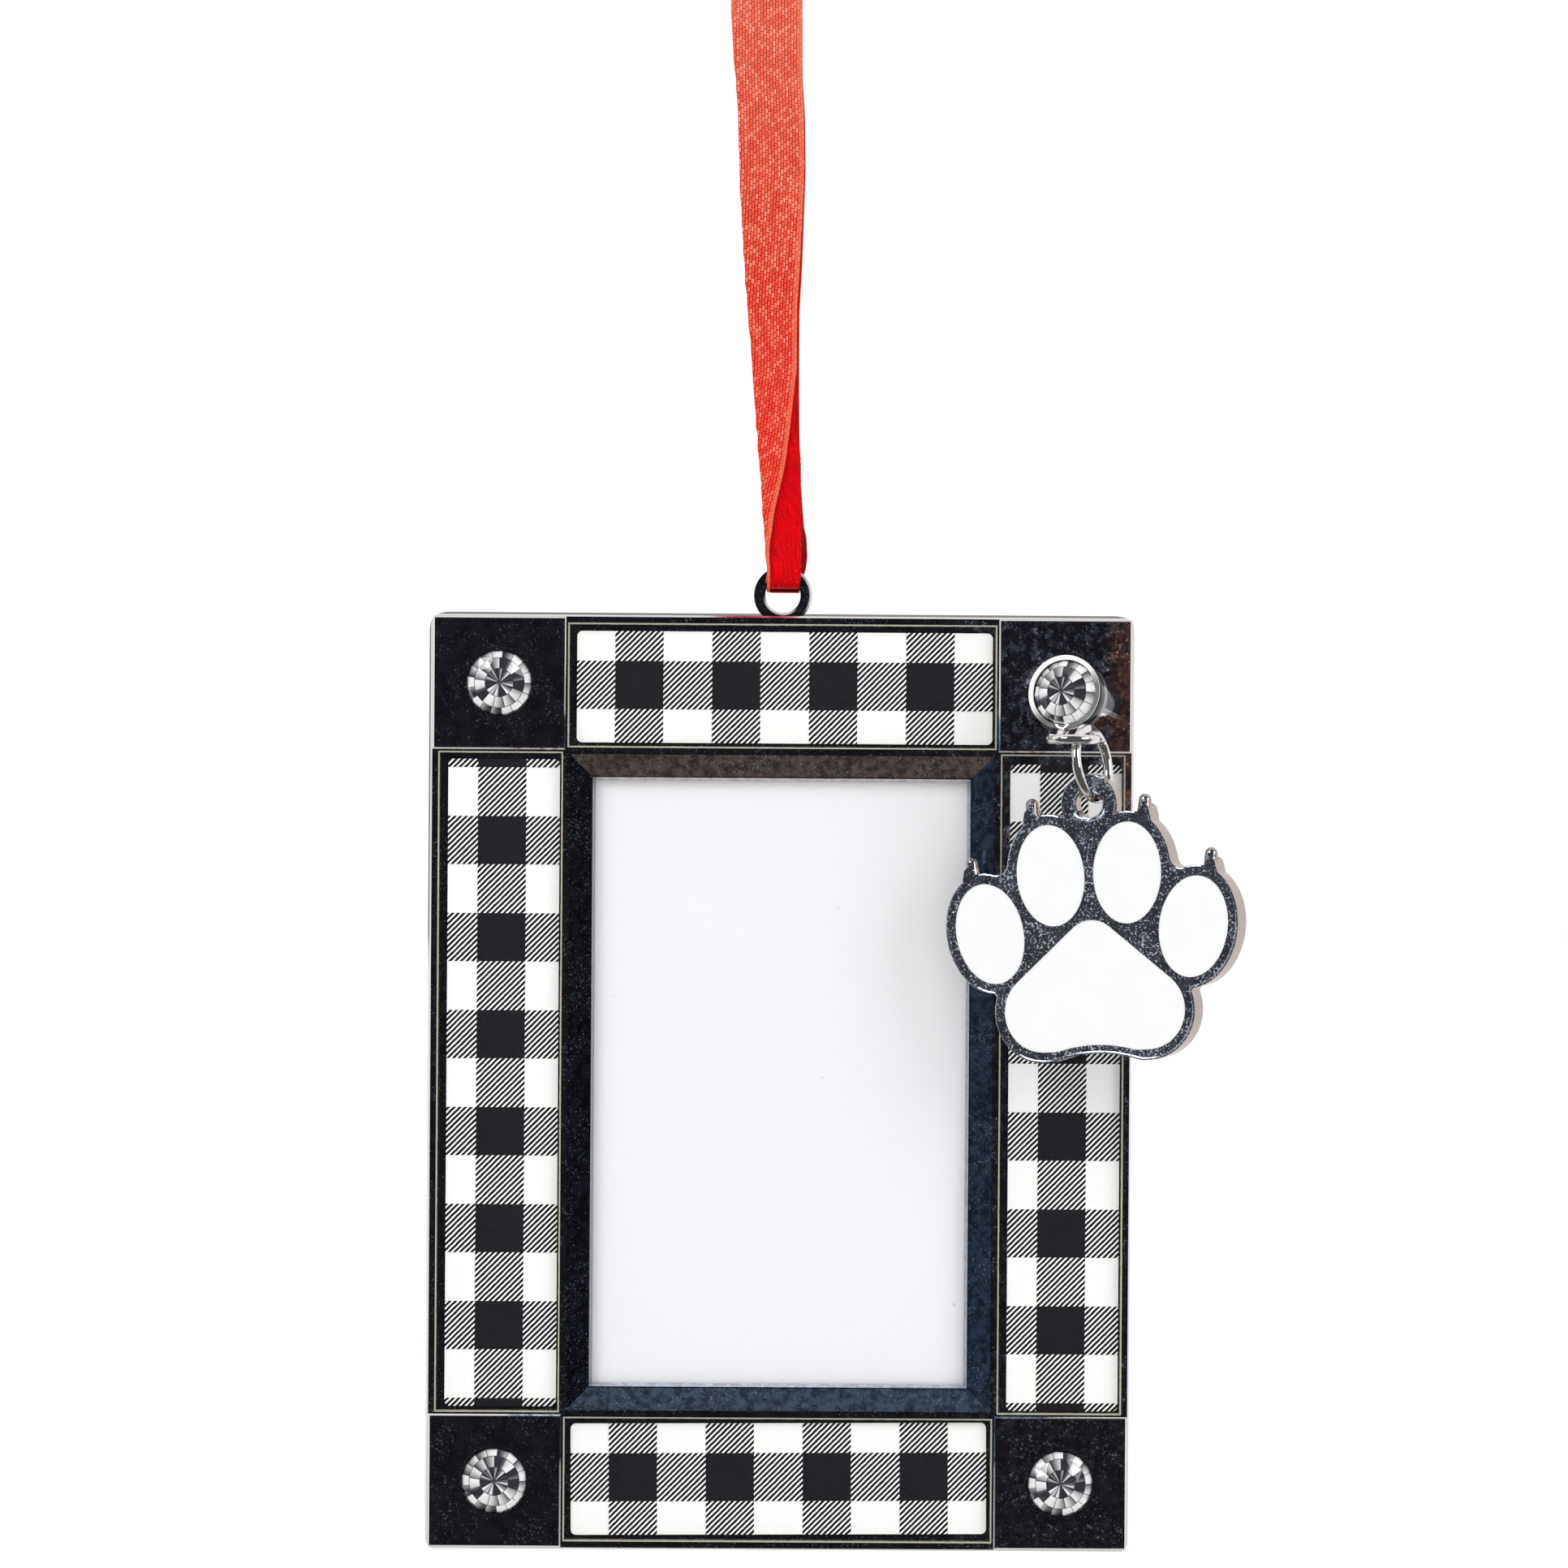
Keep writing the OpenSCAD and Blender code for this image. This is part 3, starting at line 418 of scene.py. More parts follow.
# Painted sheen: brighter red streaks along the satin and small pale painted glints; the streaks
# also bump the surface
stretched = put(tree, "CombineXYZ", i0=product(tree, across, 9), i1=product(tree, along, 0.6))
sheen_streak = noise(tree, stretched.outputs[0], 1.0, 3)
painted_satin_glint = step_up(tree, noise(tree, place, 4.2, 1), 0.68, 0.78)
satin = layered(
    tree,
    (0.5, 0.0, 0.002),
    (step_up(tree, sheen_streak, 0.35, 0.7), (0.85, 0.0, 0.004)),
    (product(tree, painted_satin_glint, 0.4), (0.95, 0.2, 0.12)),
)
feed(tree, shader, base_color=satin)
raised(tree, shader, sheen_streak, 0.00004)

ribbon_band, ribbon_length = woven_band("ribbon_band", ribbon_route, section_steps)
ribbon_band.data.materials.append(ribbon_weave)
ribbon_band.data.materials.append(ribbon_satin)
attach(ribbon_band, "frame")
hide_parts("ribbon")

# Frame casting: zinc, polished and nickel plated. Its flats mirror the dark side of the room, their
# colour is painted dark as a painted reflection of it, and they carry fine pits and specks; its
# small rounded edges and outer walls shine.


def plated(name, painted_front_tone, wall_tone, speck_tone, speck_edge, forward=(0, -1, 0)):
    """Nickel plate: a painted dark reflection and specks on its front faces, bright on rims and
    walls, dull behind.
    """
    finish, tree, shader = new_finish(name)
    place = own_place(tree)
    normal = put(tree, "NewGeometry").outputs["True Normal"]
    facing = dot(tree, normal, forward)
    front = step_up(tree, facing, 0.74, 0.97)
    behind = step_up(tree, facing, -0.6, -0.9)
    patches = step_up(tree, noise(tree, place, 420, 3), 0.3, 0.7)
    tint = noise(tree, place, 900, 2)
    grains = noise(tree, place, 5600, 2, 0.7)
    edge = calc(tree, "MULTIPLY_ADD", patches, -0.09, speck_edge + 0.05)
    specks = step_up(tree, calc(tree, "SUBTRACT", grains, edge), 0.0, 0.07)
    specks = product(tree, specks, step_up(tree, facing, 0.72, 0.87))
    # The front faces' dark colour is a painted reflection
    darker, lighter = ([gain * c for c in painted_front_tone] for gain in (0.8, 1.25))
    dark = blend_colour(tree, step_up(tree, tint, 0.35, 0.65), darker, lighter)
    cloudy = blend_colour(tree, patches, (0.4, 0.39, 0.387), (0.47, 0.46, 0.455))
    colour = layered(tree, wall_tone, (behind, cloudy), (front, dark), (specks, speck_tone))
    dull = product(tree, behind, step_up(tree, tint, 0.35, 0.65, 0.26, 0.42))
    polish = calc(tree, "MULTIPLY_ADD", specks, 0.5, 0.1)
    metallic = calc(tree, "MULTIPLY_ADD", specks, -0.85, 1.0)
    feed(tree, shader, base_color=colour, metallic=metallic,
         roughness=calc(tree, "ADD", polish, dull))
    pitted = step_up(tree, calc(tree, "ABSOLUTE", facing), 0.8, 0.95)
    raised(tree, shader, product(tree, grains, pitted), 0.00002, 0.6)
    return finish, tree, shader, place, normal, facing, specks, metallic, colour


def merged_copy(node):
    """A solid's own triangles, joined up, in a mesh that may be worked on."""
    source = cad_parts[node]
    work = bmesh.new()
    work.from_mesh(source.data)
    bmesh.ops.transform(work, matrix=source.matrix_world, verts=work.verts)
    bmesh.ops.remove_doubles(work, verts=work.verts, dist=2e-6)
    return work


def finished_piece(name, work, finish, body, node, sharp=25):
    """A piece made of the worked mesh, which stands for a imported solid."""
    mesh = bpy.data.meshes.new(name)
    work.to_mesh(mesh)
    work.free()
    mesh.polygons.foreach_set("use_smooth", [True] * len(mesh.polygons))
    mesh.set_sharp_from_angle(angle=math.radians(sharp))
    mesh.materials.clear()
    mesh.materials.append(finish)
    piece = bpy.data.objects.new(name, mesh)
    bpy.context.scene.collection.objects.link(piece)
    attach(piece, body)
    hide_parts(node)
    return piece


def chamfered(node, width, weigh):
    """A joined copy of a solid, with a flat chamfer cut along its sharp edges."""
    flat_angle, sharp_angle = math.radians(0.6), math.radians(32)
    work = merged_copy(node)
    bmesh.ops.dissolve_limit(work, angle_limit=flat_angle, verts=work.verts, edges=work.edges)
    weights = work.edges.layers.float.new("bevel_weight_edge")
    for edge in work.edges:
        sharp = len(edge.link_faces) == 2 and edge.calc_face_angle(0) > sharp_angle
        edge[weights] = weigh(edge) if sharp else 0.0
    mesh = bpy.data.meshes.new("worked")
    work.to_mesh(mesh)
    piece = bpy.data.objects.new("worked", mesh)
    bpy.context.scene.collection.objects.link(piece)
    bevel = piece.modifiers.new("chamfer", "BEVEL")
    bevel.limit_method = "WEIGHT"
    bevel.width = width
    bevel.segments = 1
    shown = piece.evaluated_get(bpy.context.evaluated_depsgraph_get())
    cut = bpy.data.meshes.new_from_object(shown)
    work.clear()
    work.from_mesh(cut)
    bpy.data.objects.remove(piece)
    bpy.data.meshes.remove(mesh)
    bpy.data.meshes.remove(cut)
    return work


def dress(node, finish):
    """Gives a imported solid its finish."""
    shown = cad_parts[node]
    shown.data.materials.clear()
    shown.data.materials.append(finish)


def between(tree, value, low, high, fade):
    """1 between low and high, going smoothly down to 0 within a fade of each."""
    return product(
        tree, step_up(tree, value, low, low + fade), step_up(tree, value, high, high - fade)
    )


def square_sum(tree, first, second):
    """The sum of two squares."""
    return calc(tree, "ADD", product(tree, first, first), product(tree, second, second))


frame_low, frame_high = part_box("frame_casting")
plate_top, ring_x, ring_z = -0.0686, 0.0023, -0.066
outline_chamfer = 0.00026
wide_slack, ring_start, side_slack, small_share = 0.0003, 0.0006, 0.0001, 0.25


def frame_edge(edge):
    """Wide chamfers on the outline of the front and on the hanging ring, small ones elsewhere."""
    middle = (edge.verts[0].co + edge.verts[1].co) / 2
    outer = middle.y < frame_low[1] + wide_slack and (
        min(middle.x - frame_low[0], frame_high[0] - middle.x) < side_slack
        or min(middle.z - frame_low[2], abs(middle.z - plate_top)) < wide_slack
    )
    return 1.0 if outer or middle.z > plate_top + ring_start else small_share


frame_plate, tree, shader, place, normal, facing, specks, metallic, colour = plated(
    "frame_plate", (0.08, 0.078, 0.105), (0.78, 0.755, 0.745), (0.05, 0.07, 0.1), 0.62
)
x, _, z = axes_of(tree, place)
lean_x, _, lean_z = axes_of(tree, normal)
# The slopes round the opening carry painted reflections: brown grey above, blue below and blue grey
# at the sides
slopes_left, slopes_right, slopes_bottom, slopes_top = -0.0205, 0.0251, -0.1385, -0.0755
slopes_fade = 0.001
slope = product(
    tree,
    step_up(tree, facing, 0.25, 0.4),
    step_up(tree, facing, 0.97, 0.9),
    between(tree, x, slopes_left, slopes_right, slopes_fade),
    between(tree, z, slopes_bottom, slopes_top, slopes_fade),
    unless(tree, specks),
)
swirl = step_up(tree, noise(tree, place, 1500, 3, 0.6), 0.35, 0.65, 0.5, 1.3)
painted_slope_reflection = layered(
    tree,
    (0.055, 0.065, 0.1),
    (step_up(tree, lean_z, 0.3, 0.5), (0.42, 0.55, 0.74)),
    (step_up(tree, lean_x, -0.3, -0.5), (0.17, 0.26, 0.42)),
    (step_up(tree, lean_z, -0.3, -0.5), (0.6, 0.5, 0.47)),
)
painted_slope_reflection = put(tree, "VectorMath", operation="SCALE", i0=painted_slope_reflection, Scale=swirl).outputs[0]
# The right-hand plates are mottled with lighter blue grey patches on their front faces
flat_front = step_up(tree, facing, 0.9, 0.97)
blue_grey_mottle = product(
    tree,
    step_up(tree, noise(tree, place, 1300, 4, 0.7), 0.5, 0.62),
    flat_front,
    step_up(tree, x, 0.015, 0.0195),
    step_up(tree, z, -0.088, -0.0825, 0.35, 1.0),
    0.9,
)
# A painted reddish-brown reflection, broken by dark specks, runs down the right of the corner with
# the cup
painted_brown_reflection = product(
    tree,
    step_up(tree, x, 0.0285, 0.0303),
    step_up(tree, z, -0.0838, -0.0825),
    step_up(tree, noise(tree, place, 700, 3), 0.3, 0.6),
    flat_front,
    step_up(tree, noise(tree, place, 2600, 3, 0.7), 0.38, 0.6, 0.25, 1.0),
    0.9,
)
# Painted highlights: light crescents where the rounded rim of the hanging ring turns to the room
from_x, from_z = calc(tree, "SUBTRACT", x, ring_x), calc(tree, "SUBTRACT", z, ring_z)
ring_reach = calc(tree, "SQRT", square_sum(tree, from_x, from_z))
ring_turn = calc(tree, "ARCTAN2", from_z, from_x)
outer_turn = calc(tree, "ABSOLUTE", calc(tree, "SUBTRACT", ring_turn, 0.35))
inner_turn = calc(tree, "ABSOLUTE", calc(tree, "ADD", ring_turn, 1.9))
outer_light = product(
    tree, step_up(tree, ring_reach, 0.00214, 0.00226), step_up(tree, outer_turn, 1.25, 0.6)
)
inner_light = product(
    tree, step_up(tree, ring_reach, 0.00172, 0.0016), step_up(tree, inner_turn, 1.3, 0.7)
)
painted_ring_highlight = product(
    tree,
    calc(tree, "MAXIMUM", outer_light, inner_light),
    step_up(tree, ring_reach, 0.0027, 0.0025),
)
colour = layered(
    tree,
    colour,
    (slope, painted_slope_reflection),
    (blue_grey_mottle, (0.33, 0.38, 0.5)),
    (painted_brown_reflection, (0.72, 0.36, 0.27)),
    (painted_ring_highlight, (0.6, 0.58, 0.58)),
)
feed(tree, shader, base_color=colour, metallic=product(tree, unless(tree, painted_ring_highlight), metallic))
finished_piece("frame_shown", chamfered("frame_casting", outline_chamfer, frame_edge), frame_plate,
               "frame", "frame_casting", sharp=10)

# Labels: white printed paper laid by hand into the trays, a woven check of black squares with
# hatched bands between them, under clear resin.


def grained(name, grain, first, second, bump, strength=1.0, **values):
    """A finish whose colour and surface both follow one fine noise."""
    finish, tree, shader = new_finish(name, **values)
    pattern = noise(tree, own_place(tree), *grain)
    feed(tree, shader, base_color=blend_colour(tree, pattern, first, second))
    raised(tree, shader, pattern, bump, strength)
    return finish, tree, shader, pattern


label_paper = grained(
    "label_paper", (2600, 3), (0.955, 0.955, 0.93), (0.995, 0.995, 0.98), 0.000004, roughness=0.6
)[0]
for side in ("top", "bottom", "left", "right"):
    dress(side + "_label", label_paper)

ink_black = grained(
    "ink_black", (5200, 2), (0.006, 0.005, 0.008), (0.024, 0.02, 0.027), 0.000002,
    roughness=0.6, specular_ior_level=0.2,
)[0]
dress("check_black", ink_black)

hatch_pitch, ink_share = 0.000466, 0.63
ink_tint, tree, shader = new_finish("ink_tint", roughness=0.6, specular_ior_level=0.2)
place = own_place(tree)
x, _, z = axes_of(tree, place)
slant = calc(tree, "SUBTRACT", x, z)
slant = calc(tree, "MULTIPLY_ADD", noise(tree, place, 2200, 2), 0.00012, slant)
stripe = calc(tree, "FRACT", calc(tree, "DIVIDE", slant, hatch_pitch))
ink = product(
    tree, step_up(tree, stripe, 0.0, 0.05), step_up(tree, stripe, ink_share, ink_share - 0.04)
)
feed(tree, shader, base_color=blend_colour(tree, ink, (0.995, 0.995, 0.98), (0.006, 0.005, 0.007)))
raised(tree, shader, ink, 0.000002)
dress("check_tint", ink_tint)

# Resin: clear epoxy poured over each label, level with the rims. Where it climbs the wall of its
# tray a faint yellow green line is painted on, the wall's reflection tinted by the resin.


def freed_copy(node, gap):
    """A clear solid's copy, drawn in a hair from what it lies on, so no two faces share a place."""
    work = merged_copy(node)
    low, high = (Vector(corner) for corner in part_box(node))
    middle, half = (low + high) / 2, (high - low) / 2
    for vert in work.verts:
        for k in (0, 2):
            vert.co[k] = middle[k] + (vert.co[k] - middle[k]) * (half[k] - gap) / half[k]
        if vert.co.y > low.y + 2e-6:
            vert.co.y -= gap
    return work


def resin_finish(name, node):
    """Clear epoxy with a painted faint line, the tinted reflection of the tray's walls, where it
    meets them.
    """
    finish, tree, shader = new_finish(name, roughness=0.04)
    place = own_place(tree)
    x, _, z = axes_of(tree, place)
    low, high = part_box(node)
    near_side, near_end = (
        calc(tree, "MINIMUM", calc(tree, "SUBTRACT", at, first), calc(tree, "SUBTRACT", last, at))
        for at, first, last in ((x, low[0], high[0]), (z, low[2], high[2]))
    )
    near = calc(tree, "MINIMUM", near_side, near_end)
    near = calc(tree, "MULTIPLY_ADD", noise(tree, place, 1800, 2), 0.00008, near)
    # Painted reflection of the tray wall near the resin's edge
    painted_wall_line = step_up(tree, near, 0.00021, 0.00013)
    edge_on = calc(tree, "POWER", put(tree, "LayerWeight", i0=0.3).outputs["Facing"], 3)
    feed(
        tree,
        shader,
        base_color=blend_colour(tree, painted_wall_line, (0.3, 0.31, 0.24), (0.62, 0.6, 0.46)),
        alpha=calc(tree, "MULTIPLY_ADD", painted_wall_line, 0.6, product(tree, edge_on, 0.5)),
    )
    return finish


for side in ("top", "bottom", "left", "right"):
    node = side + "_resin"
    finished_piece(node + "_shown", freed_copy(node, 0.000008),
                   resin_finish("clear_resin_" + side, node), "frame", node)

# Stones: cut crystal chatons with a silvered back, pressed into their sockets. The silvered
# facets show through the crown as three rings of white, grey and black wedges, painted reflections
# in the colour.
facet_line, line_fade = 0.0000085, 0.00012
# Each ring's outer radius in metres, its facets, their turn as a share of one, and the lift of
# their painted brightness
facet_rings = ((0.00315, 17, 0.0, 0.2), (0.0021, 13, 0.25, -0.02), (0.0012, 19, 0.1, -0.13))


def foiled_crystal(name, centre, forward):
    """Silvered facets in rings round the middle, each painted its own grey of reflected light,
    under a clear polish.
    """
    finish, tree, shader = new_finish(name, roughness=0.1, coat_weight=1.0, coat_roughness=0.0)
    forward = Vector(forward).normalized()
    side = forward.cross(Vector((0, 0, 1))).normalized()
    offset = put(tree, "VectorMath", operation="SUBTRACT", i0=own_place(tree), i1=tuple(centre))
    u, v = (dot(tree, offset.outputs[0], axis) for axis in (side, side.cross(forward)))
    radius = calc(tree, "SQRT", square_sum(tree, u, v))
    turn = calc(tree, "MULTIPLY_ADD", calc(tree, "ARCTAN2", v, u), 0.5 / math.pi, 0.5)
    shade, lines = None, None
    for limit, count, shift, lift in facet_rings:
        spot = calc(tree, "MULTIPLY_ADD", turn, count, shift)
        cut = calc(tree, "FRACT", spot)
        seed = put(tree, "CombineXYZ", i0=calc(tree, "FLOOR", spot), i1=limit * 1000)
        grey = put(tree, "TexWhiteNoise", Vector=seed.outputs[0]).outputs[0]
        slope = calc(tree, "MULTIPLY_ADD", cut, 0.3, calc(tree, "MULTIPLY_ADD", grey, 0.7, lift))
        width = calc(tree, "DIVIDE", facet_line * count, calc(tree, "MAXIMUM", radius, 0.0001))
        line = step_up(tree, calc(tree, "SUBTRACT", cut, width), 0.0, 0.02, 1.0, 0.0)
        rim = step_up(tree, calc(tree, "SUBTRACT", limit, radius), 0.0, line_fade, 1.0, 0.0)
        line = calc(tree, "MAXIMUM", line, rim)
        if shade is None:
            shade, lines = slope, line
            continue
        inside = calc(tree, "LESS_THAN", radius, limit)
        outside = unless(tree, inside)
        shade, lines = (
            calc(tree, "ADD", product(tree, outside, outer), product(tree, inside, inner))
            for outer, inner in ((shade, slope), (lines, line))
        )
    # Painted reflections: each facet white, grey or black, with dark lines between the facets
    painted_facet_light = layered(
        tree,
        (0.025, 0.027, 0.035),
        (step_up(tree, shade, 0.34, 0.8), (0.9, 0.9, 0.91)),
        (product(tree, lines, 0.85), (0.03, 0.03, 0.035)),
    )
    feed(tree, shader, base_color=painted_facet_light)
    return finish


cup_turn, cup_tilt = math.radians(23), math.radians(8.7)
cup_axis = Vector((
    -math.sin(cup_turn) * math.cos(cup_tilt),
    -math.cos(cup_turn) * math.cos(cup_tilt),
    math.sin(cup_tilt),
))
plate_axis = (0, -1, 0)
for corner, axis in (("top_left", plate_axis), ("bottom_left", plate_axis),
                     ("bottom_right", plate_axis), ("top_right", cup_axis)):
    middle = [(a + b) / 2 for a, b in zip(*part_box("crystal_" + corner))]
    dress("crystal_" + corner, foiled_crystal("crystal_" + corner, middle, axis))

# Cup, its loop and the jump ring: bright polished nickel, cast and turned wire. The cup's lip
# carries a painted white highlight at its upper left, its lower wall a painted white wedge and band
# of highlight, and its far wall a painted dark reflection of the plate behind it.
cup_lip = Vector((0.025346, -0.007418, -0.073933))
lip_slack, lip_chamfer = 0.00002, 0.00008
nickel_bright, tree, shader = new_finish("nickel_bright")
place = own_place(tree)
lean_x, _, lean_z = axes_of(tree, put(tree, "NewGeometry").outputs["True Normal"])
ripple = noise(tree, place, 900, 3)
offset = put(tree, "VectorMath", operation="SUBTRACT", i0=place, i1=tuple(cup_lip)).outputs[0]
depth = dot(tree, offset, cup_axis)
x, _, z = axes_of(tree, offset)
wall = product(tree, step_up(tree, depth, -0.0001, -0.0002), step_up(tree, z, -0.0034, -0.0031))
# Painted highlights on the lip and lower wall, and a painted dark reflection on the right-facing
# wall
painted_strip_highlight = product(
    tree, step_up(tree, depth, -0.0016, -0.0019), step_up(tree, depth, -0.0027, -0.0024)
)
painted_wedge_highlight = product(tree, step_up(tree, lean_z, -0.35, -0.45), step_up(tree, depth, -0.002, -0.0026))
painted_wall_highlight = calc(tree, "MAXIMUM", painted_wedge_highlight, product(tree, painted_strip_highlight, 0.35))
painted_dark_wall = product(tree, wall, step_up(tree, lean_x, 0.3, 0.45), unless(tree, painted_wall_highlight))
upper_left = step_up(tree, calc(tree, "MULTIPLY_ADD", x, -0.7, z), -0.0012, 0.0008)
painted_lip_highlight = product(
    tree,
    step_up(tree, depth, -0.00025, -0.0001),
    step_up(tree, z, -0.0031, -0.0028),
    calc(tree, "MULTIPLY_ADD", upper_left, 0.85, 0.15),
)
bright = layered(
    tree,
    (0.7, 0.68, 0.67),
    (ripple, (0.85, 0.83, 0.82)),
    (product(tree, painted_wedge_highlight, wall), (1, 0.99, 0.985)),
    (painted_lip_highlight, (1, 0.99, 0.98)),
    (painted_dark_wall, (0.02, 0.024, 0.034)),
)
not_metal = calc(tree, "MAXIMUM", product(tree, painted_lip_highlight, 0.95), product(tree, painted_dark_wall, 0.85))
feed(
    tree,
    shader,
    base_color=bright,
    metallic=unless(tree, not_metal),
    specular_ior_level=step_up(tree, painted_dark_wall, 0.2, 0.8, 0.5, 0.1),
    roughness=calc(tree, "MULTIPLY_ADD", ripple, 0.12, 0.02),
)
raised(tree, shader, ripple, 0.00004, 0.6)

work = merged_copy("charm_cup")
lip_edges = [
    edge for edge in work.edges
    if all(abs((v.co - cup_lip).dot(cup_axis)) < lip_slack for v in edge.verts)
    and edge.calc_face_angle(0) > math.radians(30)
]
bmesh.ops.bevel(
    work, geom=lip_edges, offset=lip_chamfer, segments=1, affect="EDGES", clamp_overlap=True
)
finished_piece("charm_cup_shown", work, nickel_bright,
               "frame", "charm_cup", sharp=35)
finished_piece("jump_ring_shown", merged_copy("jump_ring"), nickel_bright,
               "link", "jump_ring", sharp=40)

# Paw charm: a cast and plated paw with a rounded outer edge and an eye to hang by. Its five
# cells are filled with white enamel.
paw_turn = math.radians(24)
paw_forward = Vector((-math.sin(paw_turn), -math.cos(paw_turn), 0))
# Each outline's depth behind the front, the least wall it may stand on, and its bead's radius
paw_outlines = ((0, 0.0012, 0.00014), (0.0006, 0.0009, 0.00012))
bead_sides, bead_sunk, level_slack = 8, 0.55, 4e-6
rim_slot, least_points = 1, 4


def outline_chains(work, forward, level, shallow):
    """Rows of points along a flat face's outer edges, left out where its wall is too shallow."""
    following = {}
    for edge in work.edges:
        if any(abs(v.co.dot(forward) - level) > level_slack for v in edge.verts):
            continue
        for face in edge.link_faces:
            reach = [v.co.dot(forward) - level for v in face.verts]
            if min(reach) < -shallow and max(reach) < level_slack:
                loop = next(loop for loop in face.loops if loop.edge == edge)
                following[loop.link_loop_next.vert] = loop.vert
    chains = []
    while following:
        ends = set(following.values())
        vert = next((start for start in following if start not in ends), next(iter(following)))
        chain = [vert.co.copy()]
        while vert in following:
            vert = following.pop(vert)
            chain.append(vert.co.copy())
        chains.append(chain)
    return chains


def lay_rim(work, chain, forward, radius):
    """Adds a thin round bead along one outline, half sunk into the corner that it follows."""
    closed = (chain[0] - chain[-1]).length < 1e-6
    if closed:
        chain = chain[:-1]
    rings = []
    for i, point in enumerate(chain):
        before = chain[i - 1] if closed or i else point
        after = chain[(i + 1) % len(chain)] if closed or i + 1 < len(chain) else point
        outward = (after - before).normalized().cross(forward)
        middle = point - radius * bead_sunk * (outward + forward)
        rings.append([
            work.verts.new(middle + radius * (math.cos(a) * outward + math.sin(a) * forward))
            for a in (k * 2 * math.pi / bead_sides for k in range(bead_sides))
        ])
    pairs = list(zip(rings, rings[1:])) + ([(rings[-1], rings[0])] if closed else [])
    faces = [
        (ring[k], other[k], other[(k + 1) % bead_sides], ring[(k + 1) % bead_sides])
        for ring, other in pairs for k in range(bead_sides)
    ]
    for corners in faces + ([] if closed else [rings[0], rings[-1][::-1]]):
        work.faces.new(corners).material_index = rim_slot


work = merged_copy("paw_casting")
paw_front = max(v.co.dot(paw_forward) for v in work.verts)
beads = [
    (chain, radius)
    for depth, shallow, radius in paw_outlines
    for chain in outline_chains(work, paw_forward, paw_front - depth, shallow)
    if len(chain) >= least_points
]
for chain, radius in beads:
    lay_rim(work, chain, paw_forward, radius)
bmesh.ops.recalc_face_normals(work, faces=[f for f in work.faces if f.material_index == rim_slot])
# The paw's front faces get the same painted dark reflection as the frame's, in a bluer grey
paw_plate = plated(
    "paw_plate", (0.33, 0.37, 0.46), (0.42, 0.36, 0.335), (0.46, 0.5, 0.57), 0.567, paw_forward
)[0]
paw_rim, tree, shader = new_finish("paw_rim", metallic=1.0)
worn = noise(tree, own_place(tree), 2400, 3)
shine = step_up(tree, worn, 0.35, 0.65)
feed(
    tree,
    shader,
    base_color=blend_colour(tree, shine, (0.5, 0.45, 0.43), (0.9, 0.87, 0.86)),
    roughness=step_up(tree, worn, 0.3, 0.7, 0.15, 0.35),
)
raised(tree, shader, worn, 0.000015, 0.6)
paw_mesh = finished_piece("paw_shown", work, paw_plate,
                          "charm", "paw_casting", sharp=10).data
paw_mesh.materials.append(paw_rim)
sharp_edges = paw_mesh.attributes["sharp_edge"].data
for face in paw_mesh.polygons:
    if face.material_index == rim_slot:
        for i in face.loop_indices:
            sharp_edges[paw_mesh.loops[i].edge_index].value = False

enamel_white = grained(
    "enamel_white", (350, 2), (0.93, 0.94, 0.95), (0.97, 0.97, 0.975), 0.00001, 0.5, roughness=0.18
)[0]
for cell_name in ("outer_left", "inner_left", "inner_right", "outer_right", "pad"):
    dress("enamel_" + cell_name, enamel_white)

# Picture: a blank white card behind a clear sheet, held by the sliding back. The card has a
# small pink smear near its lower left, and the back is a black sheet with a fine grain.
window_clear, tree, shader = new_finish(
    "window_clear", roughness=0.02, base_color=(0.95, 0.96, 0.98), alpha=0.05
)
raised(tree, shader, noise(tree, own_place(tree), 60, 1), 0.00001, 0.3)
finished_piece("window_shown", freed_copy("window_sheet", 0.00001), window_clear,
               "frame", "window_sheet")

card_white, tree, shader = new_finish("card_white", roughness=0.5)
place = own_place(tree)
sizing = noise(tree, place, 1800, 3)
dirt = step_up(tree, noise(tree, place, 900, 2), 0.74, 0.78, 0.0, 0.35)
x, _, z = axes_of(tree, place)
smear_centre, smear_reach = (-0.0081, -0.1318), (0.001, 0.0002)
smear_x, smear_z = (
    calc(tree, "DIVIDE", calc(tree, "SUBTRACT", at, middle), reach)
    for at, middle, reach in zip((x, z), smear_centre, smear_reach)
)
smear = product(
    tree,
    step_up(tree, square_sum(tree, smear_x, smear_z), 1.0, 0.3),
    step_up(tree, sizing, 0.35, 0.6, 0.2, 0.6),
)
card = layered(
    tree,
    (0.88, 0.88, 0.905),
    (sizing, (0.92, 0.92, 0.945)),
    (dirt, (0.45, 0.43, 0.42)),
    (smear, (1.0, 0.6, 0.75)),
)
feed(tree, shader, base_color=card)
raised(tree, shader, sizing, 0.000003)
dress("photo_insert", card_white)

panel_black, tree, shader, grain = grained(
    "panel_black", (3200, 4, 0.6), (0.012, 0.012, 0.013), (0.03, 0.03, 0.033), 0.00003
)
feed(tree, shader, roughness=step_up(tree, grain, 0.3, 0.7, 0.38, 0.62))
dress("back_panel", panel_black)

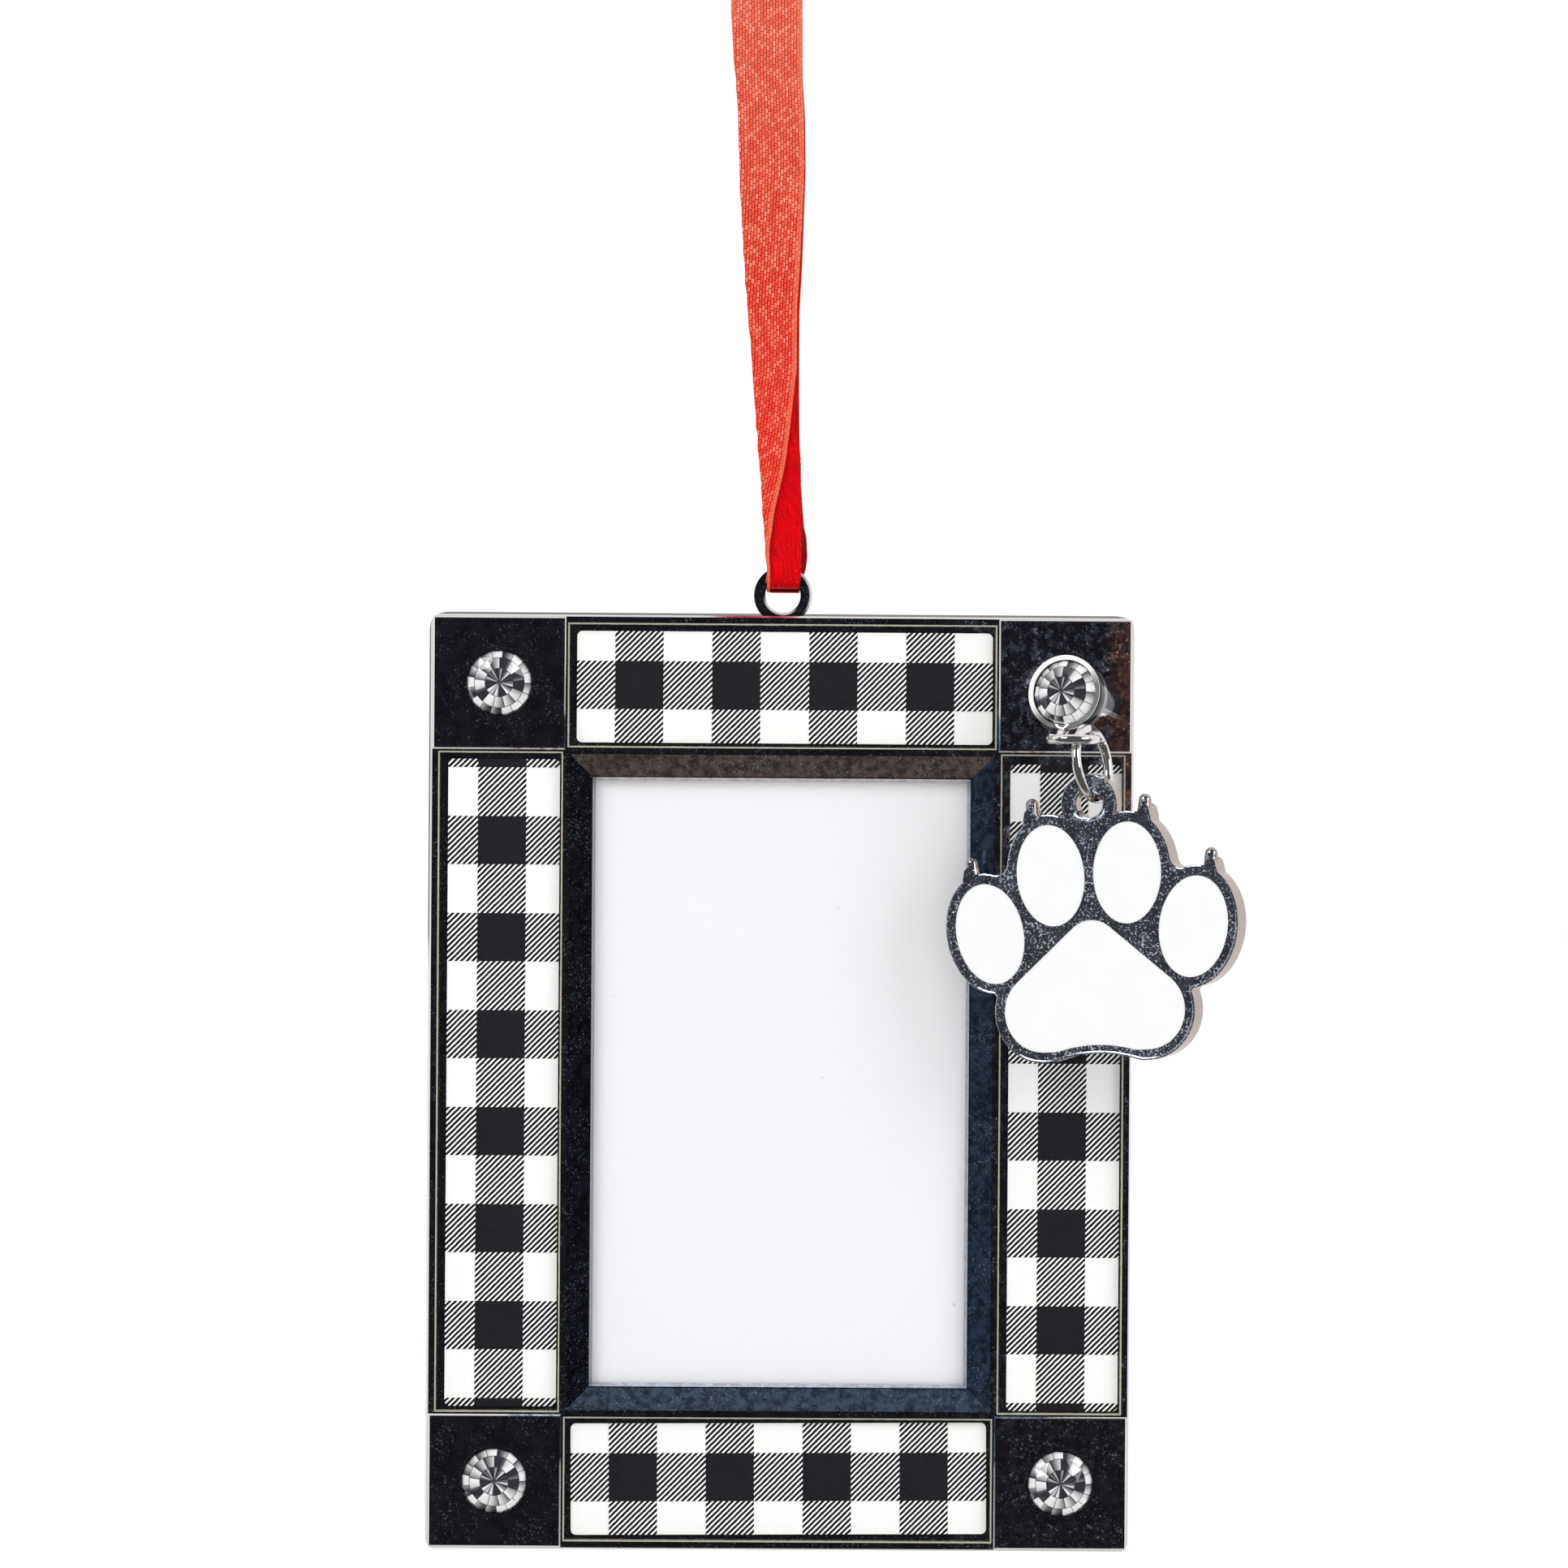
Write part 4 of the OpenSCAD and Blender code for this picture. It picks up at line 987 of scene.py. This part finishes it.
# Room: a white floor and a white surround, with the dark side of the room in front of the
# frame, which only its mirror-like plate shows, and two soft lamps.
white, warm_white = (1, 1, 1), (1, 0.985, 0.98)
room = bpy.data.worlds.new("room")
room.use_nodes = True
bpy.context.scene.world = room
tree = room.node_tree
tree.nodes.clear()
rays = put(tree, "LightPath").outputs
_, y, z = axes_of(tree, put(tree, "TexCoord").outputs["Generated"])
dark_side = blend_colour(
    tree, step_up(tree, z, -0.6, 0.6), (0.105, 0.098, 0.095), (0.09, 0.098, 0.11)
)
light_side = blend_colour(tree, step_up(tree, y, 0.92, 0.99), warm_white, (0.25, 0.24, 0.24))
mirrored = blend_colour(tree, step_up(tree, y, -0.12, -0.4), light_side, dark_side)
surround = put(tree, "Background", i0=white, i1=0.7).outputs[0]
seen = put(tree, "Background", i0=white, i1=1.0).outputs[0]
shine = put(tree, "Background", i0=mirrored, i1=1.0).outputs[0]
lit = put(tree, "MixShader", i0=rays["Is Glossy Ray"], i1=surround, i2=shine).outputs[0]
straight = calc(tree, "MAXIMUM", rays["Is Camera Ray"], rays["Is Transmission Ray"])
last = put(tree, "MixShader", i0=straight, i1=lit, i2=seen)
put(tree, "OutputWorld", i0=last.outputs[0])

floor_mesh = bpy.data.meshes.new("floor")
floor_reach, floor_drop = 3, 0.03
floor_z = cad_box[0][2] - floor_drop
floor_corners = [(side_x * floor_reach, side_y * floor_reach, floor_z)
                 for side_x, side_y in ((-1, -1), (1, -1), (1, 1), (-1, 1))]
floor_mesh.from_pydata(floor_corners, [], [(0, 1, 2, 3)])
floor = bpy.data.objects.new("floor", floor_mesh)
bpy.context.scene.collection.objects.link(floor)
floor_white, tree, shader = new_finish("floor_white", roughness=0.8, base_color=(0.9, 0.9, 0.9))
rays = put(tree, "LightPath").outputs
glow = put(tree, "Emission", i0=white, i1=product(tree, rays["Is Camera Ray"], 0.6))
both = put(tree, "AddShader", i0=shader.outputs[0], i1=glow.outputs[0])
nearer = step_up(tree, axes_of(tree, own_place(tree))[1], 0.02, -0.05)
mirrored = blend_colour(tree, nearer, warm_white, (0.1, 0.095, 0.09))
shine = put(tree, "Emission", i0=mirrored, i1=1.0)
last = put(tree, "MixShader", i0=rays["Is Glossy Ray"], i1=both.outputs[0], i2=shine.outputs[0])
tree.links.new(last.outputs[0], tree.nodes["Material Output"].inputs["Surface"])
floor_mesh.materials.append(floor_white)


lamp_size = 0.4


def soft_lamp(name, place, power):
    """A square lamp that shines on the middle of the picture."""
    lamp = bpy.data.lights.new(name, "AREA")
    lamp.size = lamp_size
    lamp.energy = power
    held = bpy.data.objects.new(name, lamp)
    held.location = place
    held.rotation_euler = (picture_centre - Vector(place)).to_track_quat("-Z", "Y").to_euler()
    bpy.context.scene.collection.objects.link(held)


soft_lamp("lamp_left", (-0.55, -0.6, 0.45), 2.9)
soft_lamp("lamp_right", (0.6, -0.45, 0.2), 1.6)
